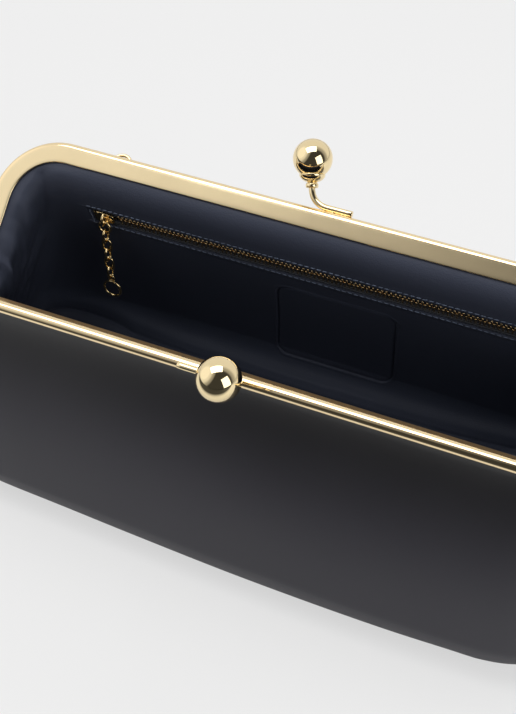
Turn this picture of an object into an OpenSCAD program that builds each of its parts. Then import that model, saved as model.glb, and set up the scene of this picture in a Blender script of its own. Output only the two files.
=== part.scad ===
// Kiss lock frame purse: a long soft leather clutch on a hinged metal channel frame, standing open.
// X runs along the purse, +Y from the front to the back, +Z up. The origin is the centre of the base
// on the surface that the purse stands on. A frame half is drawn upright and then swung open.

/* [Frame] */
// Height of the hinge axis above the table
hinge_z = 78; // [74:1:84]
// How far each frame half leans out from the vertical
open_deg = 51; // [40:1:56]
// Half of the frame's length, measured at the hinges
frame_half = 149; // [130:1:165]
// Distance from the hinge axis to the outer edge of the frame
frame_top = 65; // [60:0.5:70]
// Outer radius of the frame's corners
corner_r = 31; // [28:1:36]
// Width of the channel, across the face that shows inside the purse
channel_w = 9.6; // [8.8:0.1:10.4]
// Thickness of the channel, from the inner face to the outer face
channel_t = 4.8; // [4.6:0.1:5.2]
// Thickness of the sheet that the channel is pressed from
sheet = 0.9; // [0.7:0.1:1]
// Gap between each inner face and the plane where the halves meet
meet_gap = 0.2; // [0.15:0.05:0.3]

/* [Hinge] */
// Radius of the hinge rivet
rivet_r = 1.25; // [1:0.05:1.5]
// Radial clearance of the rivet in the ears
rivet_clear = 0.05; // [0.02:0.01:0.1]
// Thickness of a hinge ear
ear_t = 1.2; // [1:0.1:1.4]

/* [Kiss lock] */
// Diameter of a lock ball
ball_d = 17; // [14:0.5:17]
// Diameter of the wire that carries a ball
wire_d = 2.8; // [1.8:0.1:3]
// Distance from the hinge axis to a ball's centre, in the plane of the frame
ball_reach = 84.8; // [83:0.2:88]
// Distance along the bar from the middle of the purse to a ball's centre
ball_side = 8.55; // [8.55:0.05:10]
// Distance along the bar from the middle to the cut end of the wire
leg_end = 14.6; // [12:0.2:18]

/* [Leather body] */
// Half of the body's length at its widest
body_half = 150; // [148:1:153]
// Half of the body's depth at its widest
body_depth = 64.5; // [60:0.5:68]
// Radius of the roll between walls and base
base_roll = 18; // [14:1:20]
// Thickness of the outer leather
leather = 1.3; // [1:0.1:1.4]
// Thickness of the lining leather
lining = 0.8; // [0.6:0.1:0.8]

/* [Zip pocket] */
// Half of the zip's length between its stops
zip_half = 102; // [80:1:108]
// Height of the zip above the hinge axis
zip_up = 12; // [10:0.5:13]
// Distance between neighbouring teeth on one tape
tooth_pitch = 2; // [1.9:0.1:2.4]
// Depth of the pocket bag below the zip
pocket_deep = 62; // [40:1:66]

/* [Pull chain] */
// Thickness of the chain's wire
link_wire = 1.2; // [1:0.05:1.3]
// Inside length of one link
link_in = 5.6; // [5:0.1:6]
// Outside diameter of the end ring
end_ring_d = 10; // [9:0.5:12]

/* [Hidden] */
$fn = 48;

gold = "#d9c08a";
black_leather = "#26262b";
navy_leather = "#171b28";
dark_brass = "#b08a4a";
board_grey = "#8d8a84";
cord_paper = "#b9a888";

// Channel: the walls run from the inner face at meet_gap to the outer face; the open side faces inwards
outer_off = meet_gap + channel_t;
mid_off = meet_gap + channel_t / 2;
edge_r = channel_t / 2;
channel_end = 10;
plug_len = 4;
corner_y = frame_top - corner_r;
corner_x = frame_half - corner_r;

// Layers of the wall: depth below the outermost surface at which each one starts and ends
leather_in = leather;
inter_out = leather + 0.2;
inter_in = inter_out + 1;
pocket_out = inter_in + 0.25;
pocket_in = pocket_out + 0.8;
lining_out = pocket_in + 0.65;
lining_in = lining_out + lining;
// In the channel the layers are pressed together; towards the end of each arm the tuck runs out
tuck = 4.4;
tuck_end = 0.12;
tuck_from = 0.72;
tuck_to = 0.82;
channel_slack = 0.1;
press_top = outer_off - sheet - channel_slack;
press = (press_top - meet_gap - sheet - channel_slack) / lining_in;

// Wall surface: where it turns the corner, how the rim leaves the frame, and how it meets the roll
side_share = 0.78;
wide_power = 6;
foot_power = 4;
rise_power = 7;
leave_len = 12;
rise_len = 42;
rise_lean = 7;
widest_z = base_roll + 2;
notch_drop = 6;
notch_in = 2;
notch_step = 0.5;
top_count = 16;
end_count = 14;
rise_count = 12;
roll_count = 5;
layer_spread = 1.3;

function lerp(a, b, t) = a + (b - a) * t;
function bezier(a, b, c, d, t) =
    pow(1 - t, 3) * a + 3 * t * pow(1 - t, 2) * b + 3 * t * t * (1 - t) * c + pow(t, 3) * d;
function unit(v) = v / norm(v);

// A place round one half is q: -1 to 1 along the bar, and on to 2 (or -2) round the corner, down the arm
// and under the hinge.
function over(q) = max(0, abs(q) - 1);
function sgn(q) = q < 0 ? -1 : 1;

// Inner edge of the channel in the plane of the frame: x, distance from the hinge axis, and the way inwards
inner_r = corner_r - channel_w;
arc_share = 0.42;
arm_share = 0.9;
arm_stop = channel_end + plug_len + 1.5;
arm_x = frame_half - channel_w;
function rim_right(s) =
    s <= arc_share
        ? let (a = 90 - 90 * s / arc_share)
            [corner_x + inner_r * cos(a), corner_y + inner_r * sin(a), -cos(a), -sin(a)]
        : let (t = min(1, (s - arc_share) / (arm_share - arc_share)))
            [arm_x, lerp(corner_y, arm_stop, t), -1, 0];
function rim(q) =
    abs(q) <= 1 ? [corner_x * q, frame_top - channel_w, 0, -1]
    : let (r = rim_right(over(q))) [sgn(q) * r[0], r[1], sgn(q) * r[2], r[3]];

// From a place in the upright frame to the opened half: side is 1 at the back and -1 at the front
function swung(x, off, y, side) = [
    x,
    side * (off * cos(open_deg) + y * sin(open_deg)),
    hinge_z + y * cos(open_deg) - off * sin(open_deg)
];
function tuck_at(q) =
    lerp(tuck, tuck_end, min(1, max(0, (over(q) - tuck_from) / (tuck_to - tuck_from))));
function rim_point(q, e, push, side) =
    let (r = rim(q),
         off = press_top - press * e,
         held = swung(r[0] + push * r[2], off, r[1] + push * r[3], side),
         free = max(0, (over(q) - arm_share) / (1 - arm_share)),
         notch_x = arm_x - notch_in - notch_step * e,
         notch = [sgn(q) * notch_x, 0, hinge_z - notch_drop - notch_step * push])
    lerp(held, notch, free);

// A loop round the body is a superellipse: a higher power makes squarer corners and straighter sides
function loop(q, half, depth, side, power = wide_power) =
    abs(q) <= 1
        ? let (x = side_share * q)
            [half * x, side * depth * pow(1 - pow(abs(x), power), 1 / power)]
        : let (t = acos(pow(side_share, power / 2)) * pow(1 - over(q), power / 2))
            [sgn(q) * half * pow(cos(t), 2 / power), side * depth * pow(sin(t), 2 / power)];

// A point of the wall: v runs from -1 at the tucked edge, 0 at the channel, 1 at the widest, to 2 at the base
function wall(q, v, e, side) =
    v < 0 ? rim_point(q, e, tuck_at(q) * v, side)
    : let (w = loop(q, body_half - e, body_depth - e, side),
           wide = [w[0], w[1], widest_z])
    v <= 1 ?
        let (r = rim_point(q, e, 0, side),
             out = unit([sgn(w[0]) * pow(abs(w[0]) / body_half, wide_power - 1) / body_half,
                 sgn(w[1]) * pow(abs(w[1]) / body_depth, wide_power - 1) / body_depth, 0]),
             leave = rim_point(q, e, leave_len, side) - layer_spread * e * out,
             up = loop(q, body_half - rise_lean - e, body_depth - rise_lean - e, side, rise_power),
             rise = [up[0], up[1], widest_z + rise_len])
        bezier(r, leave, rise, wide, v)
    : let (a = 90 * (v - 1),
           roll = base_roll - e,
           power = wide_power + (foot_power - wide_power) * (1 - cos(a)),
           b = loop(q, body_half - e - roll * (1 - cos(a)), body_depth - e - roll * (1 - cos(a)), side, power))
        [b[0], b[1], e + (widest_z - e) * (1 - sin(a))];

// A closed shell over a stretch of the wall, between the depths e0 and e1
module shell(qs, vs, e0, e1, side) {
    cols = len(qs);
    rows = len(vs);
    outer = [for (q = qs) for (v = vs) wall(q, v, e0, side)];
    inner = [for (q = qs) for (v = vs) wall(q, v, e1, side)];
    closed_shell(outer, inner, cols, rows, side > 0);
}

// Joins two grids of points, given column by column, into one closed solid
module closed_shell(outer, inner, cols, rows, turned) {
    n = cols * rows;
    function id(c, r) = c * rows + r;
    function flip(f) = turned ? [f[0], f[2], f[1]] : f;
    function quad(a, b, c, d) = [flip([a, b, c]), flip([a, c, d])];
    faces = concat(
        [for (c = [0 : cols - 2]) for (r = [0 : rows - 2])
            each quad(id(c, r), id(c + 1, r), id(c + 1, r + 1), id(c, r + 1))],
        [for (c = [0 : cols - 2]) for (r = [0 : rows - 2])
            each quad(n + id(c, r), n + id(c, r + 1), n + id(c + 1, r + 1), n + id(c + 1, r))],
        [for (c = [0 : cols - 2])
            each quad(id(c, 0), n + id(c, 0), n + id(c + 1, 0), id(c + 1, 0))],
        [for (c = [0 : cols - 2])
            each quad(id(c, rows - 1), id(c + 1, rows - 1), n + id(c + 1, rows - 1), n + id(c, rows - 1))],
        [for (r = [0 : rows - 2])
            each quad(id(0, r), id(0, r + 1), n + id(0, r + 1), n + id(0, r))],
        [for (r = [0 : rows - 2])
            each quad(id(cols - 1, r), n + id(cols - 1, r), n + id(cols - 1, r + 1), id(cols - 1, r + 1))]
    );
    polyhedron(points = concat(outer, inner), faces = faces, convexity = 6);
}

// Where the walls are cut: the seams between panels and gussets are at seam_q
seam_q = 1.2;
half_end = end_count / 2;
function span(a, b, n) = [for (i = [0 : n]) lerp(a, b, i / n)];
side_qs = concat([-seam_q, -(1 + seam_q) / 2], span(-1, 1, top_count), [(1 + seam_q) / 2, seam_q]);
end_qs = span(seam_q, 2, half_end);
ring_qs = concat(
    [for (i = [half_end : -1 : 1]) -end_qs[i]], side_qs, [for (i = [1 : half_end]) end_qs[i]]
);
wall_vs = concat([-1], span(0, 1, rise_count), [for (i = [1 : roll_count]) 1 + i / roll_count]);
// The interlining stops below the folding part of the wall and the swing of the zip's pull
board_v = 0.7;
end_board_v = 0.65;
board_low_v = 1.85;
board_q = 1.15;
inter_vs = concat([board_v], [for (v = wall_vs) if (v > board_v && v < board_low_v) v]);
end_inter_vs = [for (v = wall_vs) if (v > end_board_v && v < board_low_v) v];
inter_qs = [for (q = side_qs) if (abs(q) < board_q) q];

module side_wall(side, e0, e1) {
    shell(side_qs, wall_vs, e0, e1, side);
}

// The end wall goes from the front seam, under the hinge, to the back seam
function end_column(k, v, e, hand) =
    let (front = k < half_end,
         i = front ? k : end_count - k,
         p = wall(hand * end_qs[i], v, e, front ? -1 : 1))
    i == half_end ? [p[0], 0, p[2]] : p;
module end_wall(hand, vs, e0, e1, first = 0) {
    ks = [first : end_count - first];
    outer = [for (k = ks) for (v = vs) end_column(k, v, e0, hand)];
    inner = [for (k = ks) for (v = vs) end_column(k, v, e1, hand)];
    closed_shell(outer, inner, end_count + 1 - 2 * first, len(vs), hand < 0);
}

// The flat base: the loop at the inner edge of the roll
base_gap = 0.1;
module base_plate(z0, z1, gap) {
    half = body_half - base_roll - gap;
    depth = body_depth - base_roll - gap;
    translate([0, 0, z0])
        linear_extrude(z1 - z0)
            polygon(concat(
                [for (q = ring_qs) loop(q, half, depth, -1, foot_power)],
                [for (q = ring_qs) if (abs(q) < 2) loop(-q, half, depth, 1, foot_power)]
            ));
}

// Stands a flat drawing up in the plane of the frame: its height becomes the offset from the inner face
module stand_up() {
    mirror([0, 1, 0])
        rotate([90, 0, 0])
            children();
}

// Swings an upright drawing out about the hinge axis; the front half is the back half turned round
module swing(side) {
    translate([0, 0, hinge_z])
        rotate([0, 0, side < 0 ? 180 : 0])
            rotate([-open_deg, 0, 0])
                children();
}

// Solid outline of the channel: the outer edge at x = 0, the inward side at x = -channel_w
module channel_solid() {
    translate([-edge_r, mid_off])
        circle(r = edge_r);
    translate([-channel_w, meet_gap])
        square([channel_w - edge_r, channel_t]);
}

module channel_section() {
    difference() {
        channel_solid();
        translate([-channel_w - 1, meet_gap + sheet])
            square([channel_w + 1 - edge_r, channel_t - 2 * sheet]);
    }
}

module cord_section() {
    cord_r = (channel_t - 2 * sheet) / 2 - 0.15;
    translate([-edge_r - cord_r, mid_off])
        circle(r = cord_r);
}

// Runs a section along the bar, round both corners and down both arms
module along_frame(arm_from) {
    translate([-corner_x, frame_top, 0])
        run(90, 2 * corner_x)
            children();
    for (hand = [0, 1])
        mirror([hand, 0, 0]) {
            translate([corner_x, corner_y, 0])
                rotate_extrude(angle = 90, $fn = 96)
                    translate([corner_r, 0])
                        children();
            translate([frame_half, corner_y, 0])
                run(0, corner_y - arm_from)
                    children();
        }
}

// Extrudes a section whose outer edge faces the direction turn, towards turn - 90 degrees
module run(turn, length) {
    rotate([0, 0, turn])
        rotate([90, 0, 0])
            linear_extrude(length)
                children();
}

// Ear: a plate square to the hinge axis, with the rivet's bore. The ears of the two halves lie side by side.
ear_r = 4.2;
ear_side = 0.1;
ear_margin = 0.5;
module ear(depth) {
    top_y = channel_end + 2;
    low_off = meet_gap + ear_margin;
    translate([frame_half - depth, 0, 0])
        rotate([0, -90, 0])
            difference() {
                linear_extrude(ear_t) {
                    circle(r = ear_r);
                    polygon([
                        [-ear_margin, ear_r - 0.05], [top_y, outer_off - ear_margin], [top_y, low_off],
                        [channel_end - 2, low_off], [2.2, ear_margin - ear_r], [0, ear_margin - ear_r]
                    ]);
                }
                translate([0, 0, -1])
                    cylinder(r = rivet_r + rivet_clear, h = ear_t + 2);
            }
}

module frame_half_piece(ear_depth) {
    color(gold) {
        stand_up() {
            along_frame(channel_end + plug_len)
                channel_section();
            for (hand = [0, 1])
                mirror([hand, 0, 0])
                    translate([frame_half, channel_end + plug_len, 0])
                        run(0, plug_len)
                            channel_solid();
        }
        for (hand = [0, 1])
            mirror([hand, 0, 0])
                ear(ear_depth);
    }
}

module front_frame() {
    swing(-1)
        frame_half_piece(ear_side);
}

module back_frame() {
    swing(1)
        frame_half_piece(2 * ear_side + ear_t);
}

module hinge_rivet(hand) {
    head_r = 2.8;
    head_t = 0.9;
    inner_x = frame_half - 2 * ear_t - 3 * ear_side;
    color(gold)
        translate([0, 0, hinge_z])
            scale([hand, 1, 1])
                rotate([0, 90, 0]) {
                    translate([0, 0, inner_x - head_t])
                        cylinder(r = rivet_r, h = frame_half - inner_x + 2 * head_t);
                    translate([0, 0, inner_x - head_t])
                        cylinder(r = head_r - 0.3, h = head_t);
                    translate([0, 0, frame_half])
                        cylinder(r1 = head_r, r2 = head_r - 0.7, h = head_t);
                }
}

module packing_cord(side) {
    color(cord_paper)
        swing(side)
            stand_up()
                along_frame(channel_end + plug_len + 0.5)
                    cord_section();
}

// Strap loop: a half ring of wire on the outer face of the back bar, leaning out a little
loop_wire = 1.6;
loop_r = 4.4;
loop_at = 95;
loop_lean = 14;
loop_foot = 60;
module strap_loop(hand) {
    leg = 2.6;
    color(gold)
        swing(1)
            translate([hand * loop_at, outer_off + loop_wire / 2 - 0.02, loop_foot])
                rotate([-loop_lean, 0, 0]) {
                    translate([0, 0, leg])
                        stand_up()
                            rotate_extrude(angle = 180)
                                translate([loop_r, 0])
                                    circle(d = loop_wire, $fn = 24);
                    for (s = [-1, 1])
                        translate([s * loop_r, 0, 0])
                            cylinder(d = loop_wire, h = leg, $fn = 24);
                }
}

// Lock: the wire's leg lies on the bar's outer edge, turns up, and carries the ball
leg_off = mid_off + 0.4;
leg_y = frame_top + wire_d / 2 + 0.05;
ball_off = 0.1;
rise_y = ball_reach - leg_y;
stem_tilt = atan2(leg_off - ball_off, rise_y);
stem_rise = norm([leg_off - ball_off, rise_y]);
stem_foot = 3.9;
stem_lean = atan2(ball_side - stem_foot, stem_rise);
bend_cut = 4.4;
ball_r = ball_d / 2;
bore_end = ball_r - 3;
cup_r = 0.65 * ball_r;
cup_from = 0.81 * ball_r;
cup_len = 3.5;
collar_r = 2.7;

// Places an upright drawing of the lock, whose leg lies along X at the bar
module lock_place(side) {
    swing(side)
        translate([0, leg_off, leg_y])
            rotate([stem_tilt, 0, 0])
                children();
}

// Moves to the ball's centre with Z along the stem, pointing away from it
module at_ball() {
    translate([-ball_side, 0, stem_rise])
        rotate([0, 180 - stem_lean, 0])
            children();
}

// A round rod between two points of the upright drawing, as [x, z], with a round knuckle at its start
module rod(from, to) {
    way = to - from;
    translate([from[0], 0, from[1]]) {
        sphere(d = wire_d + 0.04);
        rotate([0, atan2(way[0], way[1]), 0])
            cylinder(d = wire_d, h = norm(way));
    }
}

stem_len = norm([ball_side - stem_foot, stem_rise]);
stem_way = [-(ball_side - stem_foot), stem_rise] / stem_len;
module lock_wire(side) {
    corner = [-stem_foot, 0];
    bend_in = corner + [bend_cut, 0];
    bend_out = corner + bend_cut * stem_way;
    bend_mid = lerp((bend_in + bend_out) / 2, corner, 0.45);
    color(gold)
        lock_place(side) {
            rod(bend_in, [leg_end, 0]);
            rod(bend_mid, bend_in);
            rod(bend_out, bend_mid);
            rod(bend_out, corner + (stem_len - bore_end) * stem_way);
        }
}

// Collar: a shallow bowl that holds the ball, and a bead below it
module lock_collar(side) {
    color(gold)
        lock_place(side)
            at_ball()
                difference() {
                    rotate_extrude()
                        polygon(concat(
                            [[0, cup_from]],
                            [for (a = [0:7.5:60]) [cup_r * cos(a), cup_from + cup_len * sin(a)]],
                            [[collar_r, cup_from + cup_len], [collar_r, cup_from + cup_len + 2.1],
                                [0, cup_from + cup_len + 2.1]]));
                    sphere(r = ball_r);
                    translate([0, 0, bore_end])
                        cylinder(d = wire_d, h = 8);
                }
}

module lock_ball(side) {
    color(gold)
        lock_place(side)
            at_ball()
                difference() {
                    sphere(r = ball_r);
                    translate([0, 0, bore_end])
                        cylinder(d = wire_d, h = 8);
                }
}

// Solder: a low fillet between the leg and the bar's rounded edge
module lock_solder(side) {
    solder_from = -stem_foot + bend_cut + 1.3;
    solder_len = leg_end - 1 - solder_from;
    color(gold)
        swing(side)
            translate([solder_from, 0, 0])
                rotate([90, 0, 90])
                    linear_extrude(solder_len)
                        difference() {
                            translate([leg_off - 1.3, frame_top - 0.9])
                                square([2.6, 1.5]);
                            translate([mid_off, frame_top - edge_r])
                                circle(r = edge_r);
                            translate([leg_off, leg_y])
                                circle(d = wire_d);
                            translate([meet_gap, frame_top - edge_r - 3])
                                square([channel_t, 3]);
                        }
}

module front_panel() {
    color(black_leather)
        side_wall(-1, 0, leather_in);
}

module back_panel() {
    color(black_leather)
        side_wall(1, 0, leather_in);
}

module gusset(hand) {
    color(black_leather)
        end_wall(hand, wall_vs, 0, leather_in);
}

module base_panel() {
    color(black_leather)
        base_plate(0, leather, base_gap);
}

module side_interlining(side) {
    color(board_grey)
        shell(inter_qs, inter_vs, inter_out, inter_in, side);
}

module end_interlining(hand) {
    color(board_grey)
        end_wall(hand, end_inter_vs, inter_out, inter_in, 1);
}

module base_board() {
    color(board_grey)
        base_plate(inter_out, inter_in + 0.5, 3);
}

module front_lining() {
    color(navy_leather)
        side_wall(-1, lining_out, lining_in);
}

// The zip lies in a window of the back lining; zip_y is where the teeth's middle plane crosses zip_up
zip_v = 0.38;
zip_q = 0.6;
zip_low = wall(zip_q, zip_v + 0.05, lining_out, 1);
zip_high = wall(zip_q, zip_v - 0.05, lining_out, 1);
zip_behind = 0.6;
zip_tilt = atan2(zip_low[1] - zip_high[1], zip_high[2] - zip_low[2]);
zip_z = hinge_z + zip_up;
zip_y = lerp(zip_low[1], zip_high[1], (zip_z - zip_low[2]) / (zip_high[2] - zip_low[2])) + zip_behind;
window_h = 8.4;
tape_w = 7.2;
tape_t = 0.4;
tooth_t = 1.7;
tooth_len = 2.3;
tooth_w = 0.9;
bead = 1.3;
row_gap = 0.3;

// X along the zip, Y into the purse, Z up the lining
module at_zip() {
    translate([0, zip_y, zip_z])
        rotate([zip_tilt, 0, 0])
            mirror([0, 1, 0])
                children();
}

module back_lining() {
    color(navy_leather)
        difference() {
            side_wall(1, lining_out, lining_in);
            at_zip()
                translate([-zip_half - 5, -4, -window_h / 2])
                    cube([2 * zip_half + 10, 8, window_h]);
        }
}

module gusset_lining(hand) {
    color(navy_leather)
        end_wall(hand, wall_vs, lining_out, lining_in);
}

module base_lining() {
    color(navy_leather)
        base_plate(lining_out, lining_in, base_gap);
}

// Pocket bag: a thin pouch behind the lining, from just below the lower tape. There the wall falls by
// v_fall for each unit of v.
v_fall = 118;
pocket_top = 11;
pocket_v = 0.49;
module pocket_bag() {
    low_v = pocket_v + (pocket_deep - pocket_top) / v_fall;
    qs = [for (q = side_qs) if (abs(q) < 0.9) q];
    vs = [for (v = wall_vs) if (v > pocket_v && v < low_v) v];
    color(navy_leather)
        shell(qs, vs, pocket_out, pocket_in, 1);
}

module zip_tape(up) {
    color(navy_leather)
        at_zip()
            scale([1, 1, up])
                translate([-zip_half - 4, -tape_t / 2, tooth_len])
                    cube([2 * zip_half + 8, tape_t, tape_w - tooth_len]);
}

// One row of teeth: blocks joined by the bead along the tape's edge. The rows stand a little apart, so
// that the slider's divider passes between them.
teeth_from = -zip_half + 10;
module zip_teeth(up) {
    count = floor((zip_half - 2 - teeth_from) / tooth_pitch);
    start = teeth_from + (up > 0 ? 0 : tooth_pitch / 2);
    half_w = tooth_w / 2;
    color(dark_brass)
        at_zip()
            scale([1, 1, up])
                translate([0, tooth_t / 2, 0])
                    rotate([90, 0, 0])
                        linear_extrude(tooth_t)
                            polygon(concat(
                                [[start + (count - 1) * tooth_pitch + half_w, tooth_len],
                                 [start - half_w, tooth_len]],
                                [for (i = [0 : count - 1]) each let (x = start + i * tooth_pitch) [
                                    [x - half_w, bead], [x - half_w, row_gap],
                                    [x + half_w, row_gap], [x + half_w, bead]
                                ]]
                            ));
}

// One bottom stop across both tapes at the right end, and a small top stop on each tape at the left
module zip_end_stops() {
    stop_t = 2.2;
    color(dark_brass)
        at_zip() {
            translate([zip_half - 1, -stop_t / 2, -tooth_len])
                cube([2.5, stop_t, 2 * tooth_len]);
            for (up = [-1, 1])
                scale([1, 1, up])
                    translate([-zip_half - 3.4, -stop_t / 2, row_gap])
                        cube([1.5, stop_t, tooth_len - row_gap]);
        }
}

// Slider: two plates with low flanges over the teeth, joined by the divider, and the bridge for the pull
slider_x = -zip_half + 3.2;
slider_len = 9.4;
slider_w = 7;
plate_t = 0.8;
plate_gap = 0.95;
flange_w = 0.6;
flange_gap = 0.4;
bridge_r = 3.2;
module zip_slider() {
    plate_out = plate_gap + plate_t;
    color(dark_brass)
        at_zip()
            translate([slider_x, 0, 0]) {
                for (face = [-1, 1])
                    scale([1, face, 1]) {
                        translate([-slider_len / 2, plate_gap, -slider_w / 2])
                            cube([slider_len, plate_t, slider_w]);
                        for (edge = [-1, 1])
                            scale([1, 1, edge])
                                translate([-slider_len / 2, flange_gap, slider_w / 2 - flange_w])
                                    cube([slider_len, plate_out - flange_gap, flange_w]);
                    }
                translate([-slider_len / 2 + 0.6, -plate_out + 0.1, -row_gap + 0.1])
                    cube([2.4, 2 * plate_out - 0.2, 2 * (row_gap - 0.1)]);
                translate([0, plate_out - 0.1, 0])
                    rotate([0, 90, 0])
                        rotate_extrude(angle = 180)
                            translate([bridge_r, 0])
                                circle(d = link_wire, $fn = 24);
            }
}

// Pull chain. Each piece hangs by its own top bend from the bottom bend of the piece above it, turned by a
// quarter. A drop is the distance from the pull ring's top bend to the bottom bend of piece n.
slack = 0.05;
pull_ring_r = 2.9;
link_w = 3;
ring_proud = 1.5;
ring_off = plate_gap + plate_t - 0.1 + ring_proud;
ring_low = sqrt(pow(bridge_r - link_wire - slack, 2) - pow(ring_proud, 2));
hang_y = zip_y - ring_off * cos(zip_tilt) + ring_low * sin(zip_tilt);
hang_z = zip_z - ring_low * cos(zip_tilt) - ring_off * sin(zip_tilt);
link_drop = link_in - slack;
function drop(n) = 2 * pull_ring_r + n * link_drop;

// A link with its top bend hung over the origin of the piece above
module link_shape() {
    bend = (link_w + link_wire) / 2;
    reach = (link_in + link_wire) / 2 - bend;
    for (s = [-1, 1]) {
        translate([0, 0, s * reach])
            rotate([0, s < 0 ? 180 : 0, 0])
                stand_up()
                    rotate_extrude(angle = 180)
                        translate([bend, 0])
                            circle(d = link_wire, $fn = 24);
        translate([s * bend, 0, -reach])
            cylinder(d = link_wire, h = 2 * reach, $fn = 24);
    }
}

module pull_ring() {
    color(dark_brass)
        translate([slider_x, hang_y, hang_z - pull_ring_r])
            stand_up()
                rotate_extrude()
                    translate([pull_ring_r, 0])
                        circle(d = link_wire, $fn = 24);
}

module chain_link(n) {
    mid = drop(n) - (link_in + link_wire) / 2;
    color(dark_brass)
        translate([slider_x, hang_y, hang_z - mid])
            rotate([0, 0, n % 2 == 1 ? 90 : 0])
                link_shape();
}

// End ring: a round ring with a small eyelet on top
eyelet_r = 1.5;
eyelet_wire = 1;
module pull_end_ring() {
    ring_r = (end_ring_d - link_wire) / 2;
    eyelet_z = (link_wire + eyelet_wire) / 2 + slack - eyelet_r;
    ring_z = eyelet_z - eyelet_r - ring_r - 0.8;
    color(dark_brass)
        translate([slider_x, hang_y, hang_z - drop(5)])
            stand_up() {
                translate([0, eyelet_z, 0])
                    rotate_extrude()
                        translate([eyelet_r, 0])
                            circle(d = eyelet_wire, $fn = 24);
                translate([0, ring_z, 0])
                    rotate_extrude()
                        translate([ring_r, 0])
                            circle(d = link_wire, $fn = 24);
            }
}

front_frame();
back_frame();
hinge_rivet(-1);  // left_hinge_rivet
hinge_rivet(1);  // right_hinge_rivet
packing_cord(-1);  // front_packing_cord
packing_cord(1);  // back_packing_cord
strap_loop(-1);  // left_strap_loop
strap_loop(1);  // right_strap_loop
lock_wire(-1);  // front_lock_wire
lock_wire(1);  // back_lock_wire
lock_collar(-1);  // front_lock_collar
lock_collar(1);  // back_lock_collar
lock_ball(-1);  // front_lock_ball
lock_ball(1);  // back_lock_ball
lock_solder(-1);  // front_lock_solder
lock_solder(1);  // back_lock_solder
front_panel();
back_panel();
gusset(-1);  // left_gusset
gusset(1);  // right_gusset
base_panel();
side_interlining(-1);  // front_interlining
side_interlining(1);  // back_interlining
end_interlining(-1);  // left_end_interlining
end_interlining(1);  // right_end_interlining
base_board();
front_lining();
back_lining();
gusset_lining(-1);  // left_gusset_lining
gusset_lining(1);  // right_gusset_lining
base_lining();
pocket_bag();
zip_tape(1);  // zip_tape_upper
zip_tape(-1);  // zip_tape_lower
zip_teeth(1);  // zip_teeth_upper
zip_teeth(-1);  // zip_teeth_lower
zip_end_stops();
zip_slider();
pull_ring();
chain_link(1);  // chain_link_1
chain_link(2);  // chain_link_2
chain_link(3);  // chain_link_3
chain_link(4);  // chain_link_4
chain_link(5);  // chain_link_5
pull_end_ring();
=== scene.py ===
"""A long leather clutch on a hinged metal frame, standing open: the looks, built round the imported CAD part.

Lengths are worked out in millimetres, as the part's source has them, and put into the meshes in metres.
"""

import bpy
import numpy as np
from mathutils import Matrix, Quaternion, Vector


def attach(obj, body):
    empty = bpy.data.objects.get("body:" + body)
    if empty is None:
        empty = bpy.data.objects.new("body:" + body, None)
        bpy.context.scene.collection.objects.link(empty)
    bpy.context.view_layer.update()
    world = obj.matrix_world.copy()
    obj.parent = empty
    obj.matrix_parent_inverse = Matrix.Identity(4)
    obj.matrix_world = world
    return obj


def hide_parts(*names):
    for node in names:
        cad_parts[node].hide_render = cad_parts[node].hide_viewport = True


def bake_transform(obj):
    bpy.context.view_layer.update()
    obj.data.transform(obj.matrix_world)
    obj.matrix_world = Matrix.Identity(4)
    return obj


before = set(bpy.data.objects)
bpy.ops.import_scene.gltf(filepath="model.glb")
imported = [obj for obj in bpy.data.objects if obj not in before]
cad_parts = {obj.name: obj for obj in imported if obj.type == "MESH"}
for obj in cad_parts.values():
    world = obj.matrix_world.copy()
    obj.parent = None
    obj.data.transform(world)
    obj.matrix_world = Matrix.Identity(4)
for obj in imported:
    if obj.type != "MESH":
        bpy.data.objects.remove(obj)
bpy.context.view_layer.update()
MM = 0.001

# ---------------------------------------------------------------- Camera and studio
# The camera stands in front, to the right and above, and looks down on the left half of the open purse.
# Its place was solved from the bars, the balls and the outline in the photograph.
photo_long_side, focal_length_px, film = 714.0, 1299.44, 36.0
camera_data = bpy.data.cameras.new("camera")
camera_data.sensor_fit = "AUTO"
camera_data.sensor_width = film
camera_data.lens = focal_length_px * film / photo_long_side
camera = bpy.data.objects.new("camera", camera_data)
bpy.context.collection.objects.link(camera)
turn, dip, roll = np.radians([24.41, 45.80, -1.10])
ahead = np.array([-np.sin(turn) * np.cos(dip), np.cos(turn) * np.cos(dip), -np.sin(dip)])
right = np.array([np.cos(turn), np.sin(turn), 0.0])
above = np.cross(right, ahead)
image_right = right * np.cos(roll) + above * np.sin(roll)
image_up = -right * np.sin(roll) + above * np.cos(roll)
camera_at = (0.15203, -0.34792, 0.46732)
camera.matrix_world = Matrix([[image_right[i], image_up[i], -ahead[i], camera_at[i]] for i in range(3)]
                             + [[0, 0, 0, 1]])
camera_data.clip_start, camera_data.clip_end = 0.02, 50
bpy.context.scene.camera = camera
bpy.context.scene.view_settings.view_transform = "Standard"


def add_node(tree, kind, inputs=(), **settings):
    """Adds a shader node: settings are its own properties, and inputs gives numbers, colours or sockets of
    other nodes to its inputs, by name or place."""
    made = tree.nodes.new("ShaderNode" + kind)
    for label, value in settings.items():
        setattr(made, label, value)
    for place, value in dict(inputs).items():
        if isinstance(value, bpy.types.NodeSocket):
            tree.links.new(value, made.inputs[place])
        else:
            made.inputs[place].default_value = value
    return made


def math_node(tree, operation, a, b, clamp=False):
    """One Math node of two sockets or numbers; returns its output socket."""
    return add_node(tree, "Math", {0: a, 1: b}, operation=operation, use_clamp=clamp).outputs[0]


def eased(tree, value, low, high, first, last):
    """Eases from first to last while value goes from low to high; returns the socket."""
    return add_node(tree, "MapRange", {"Value": value, "From Min": low, "From Max": high, "To Min": first,
                                       "To Max": last}, interpolation_type="SMOOTHSTEP").outputs["Result"]


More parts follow.
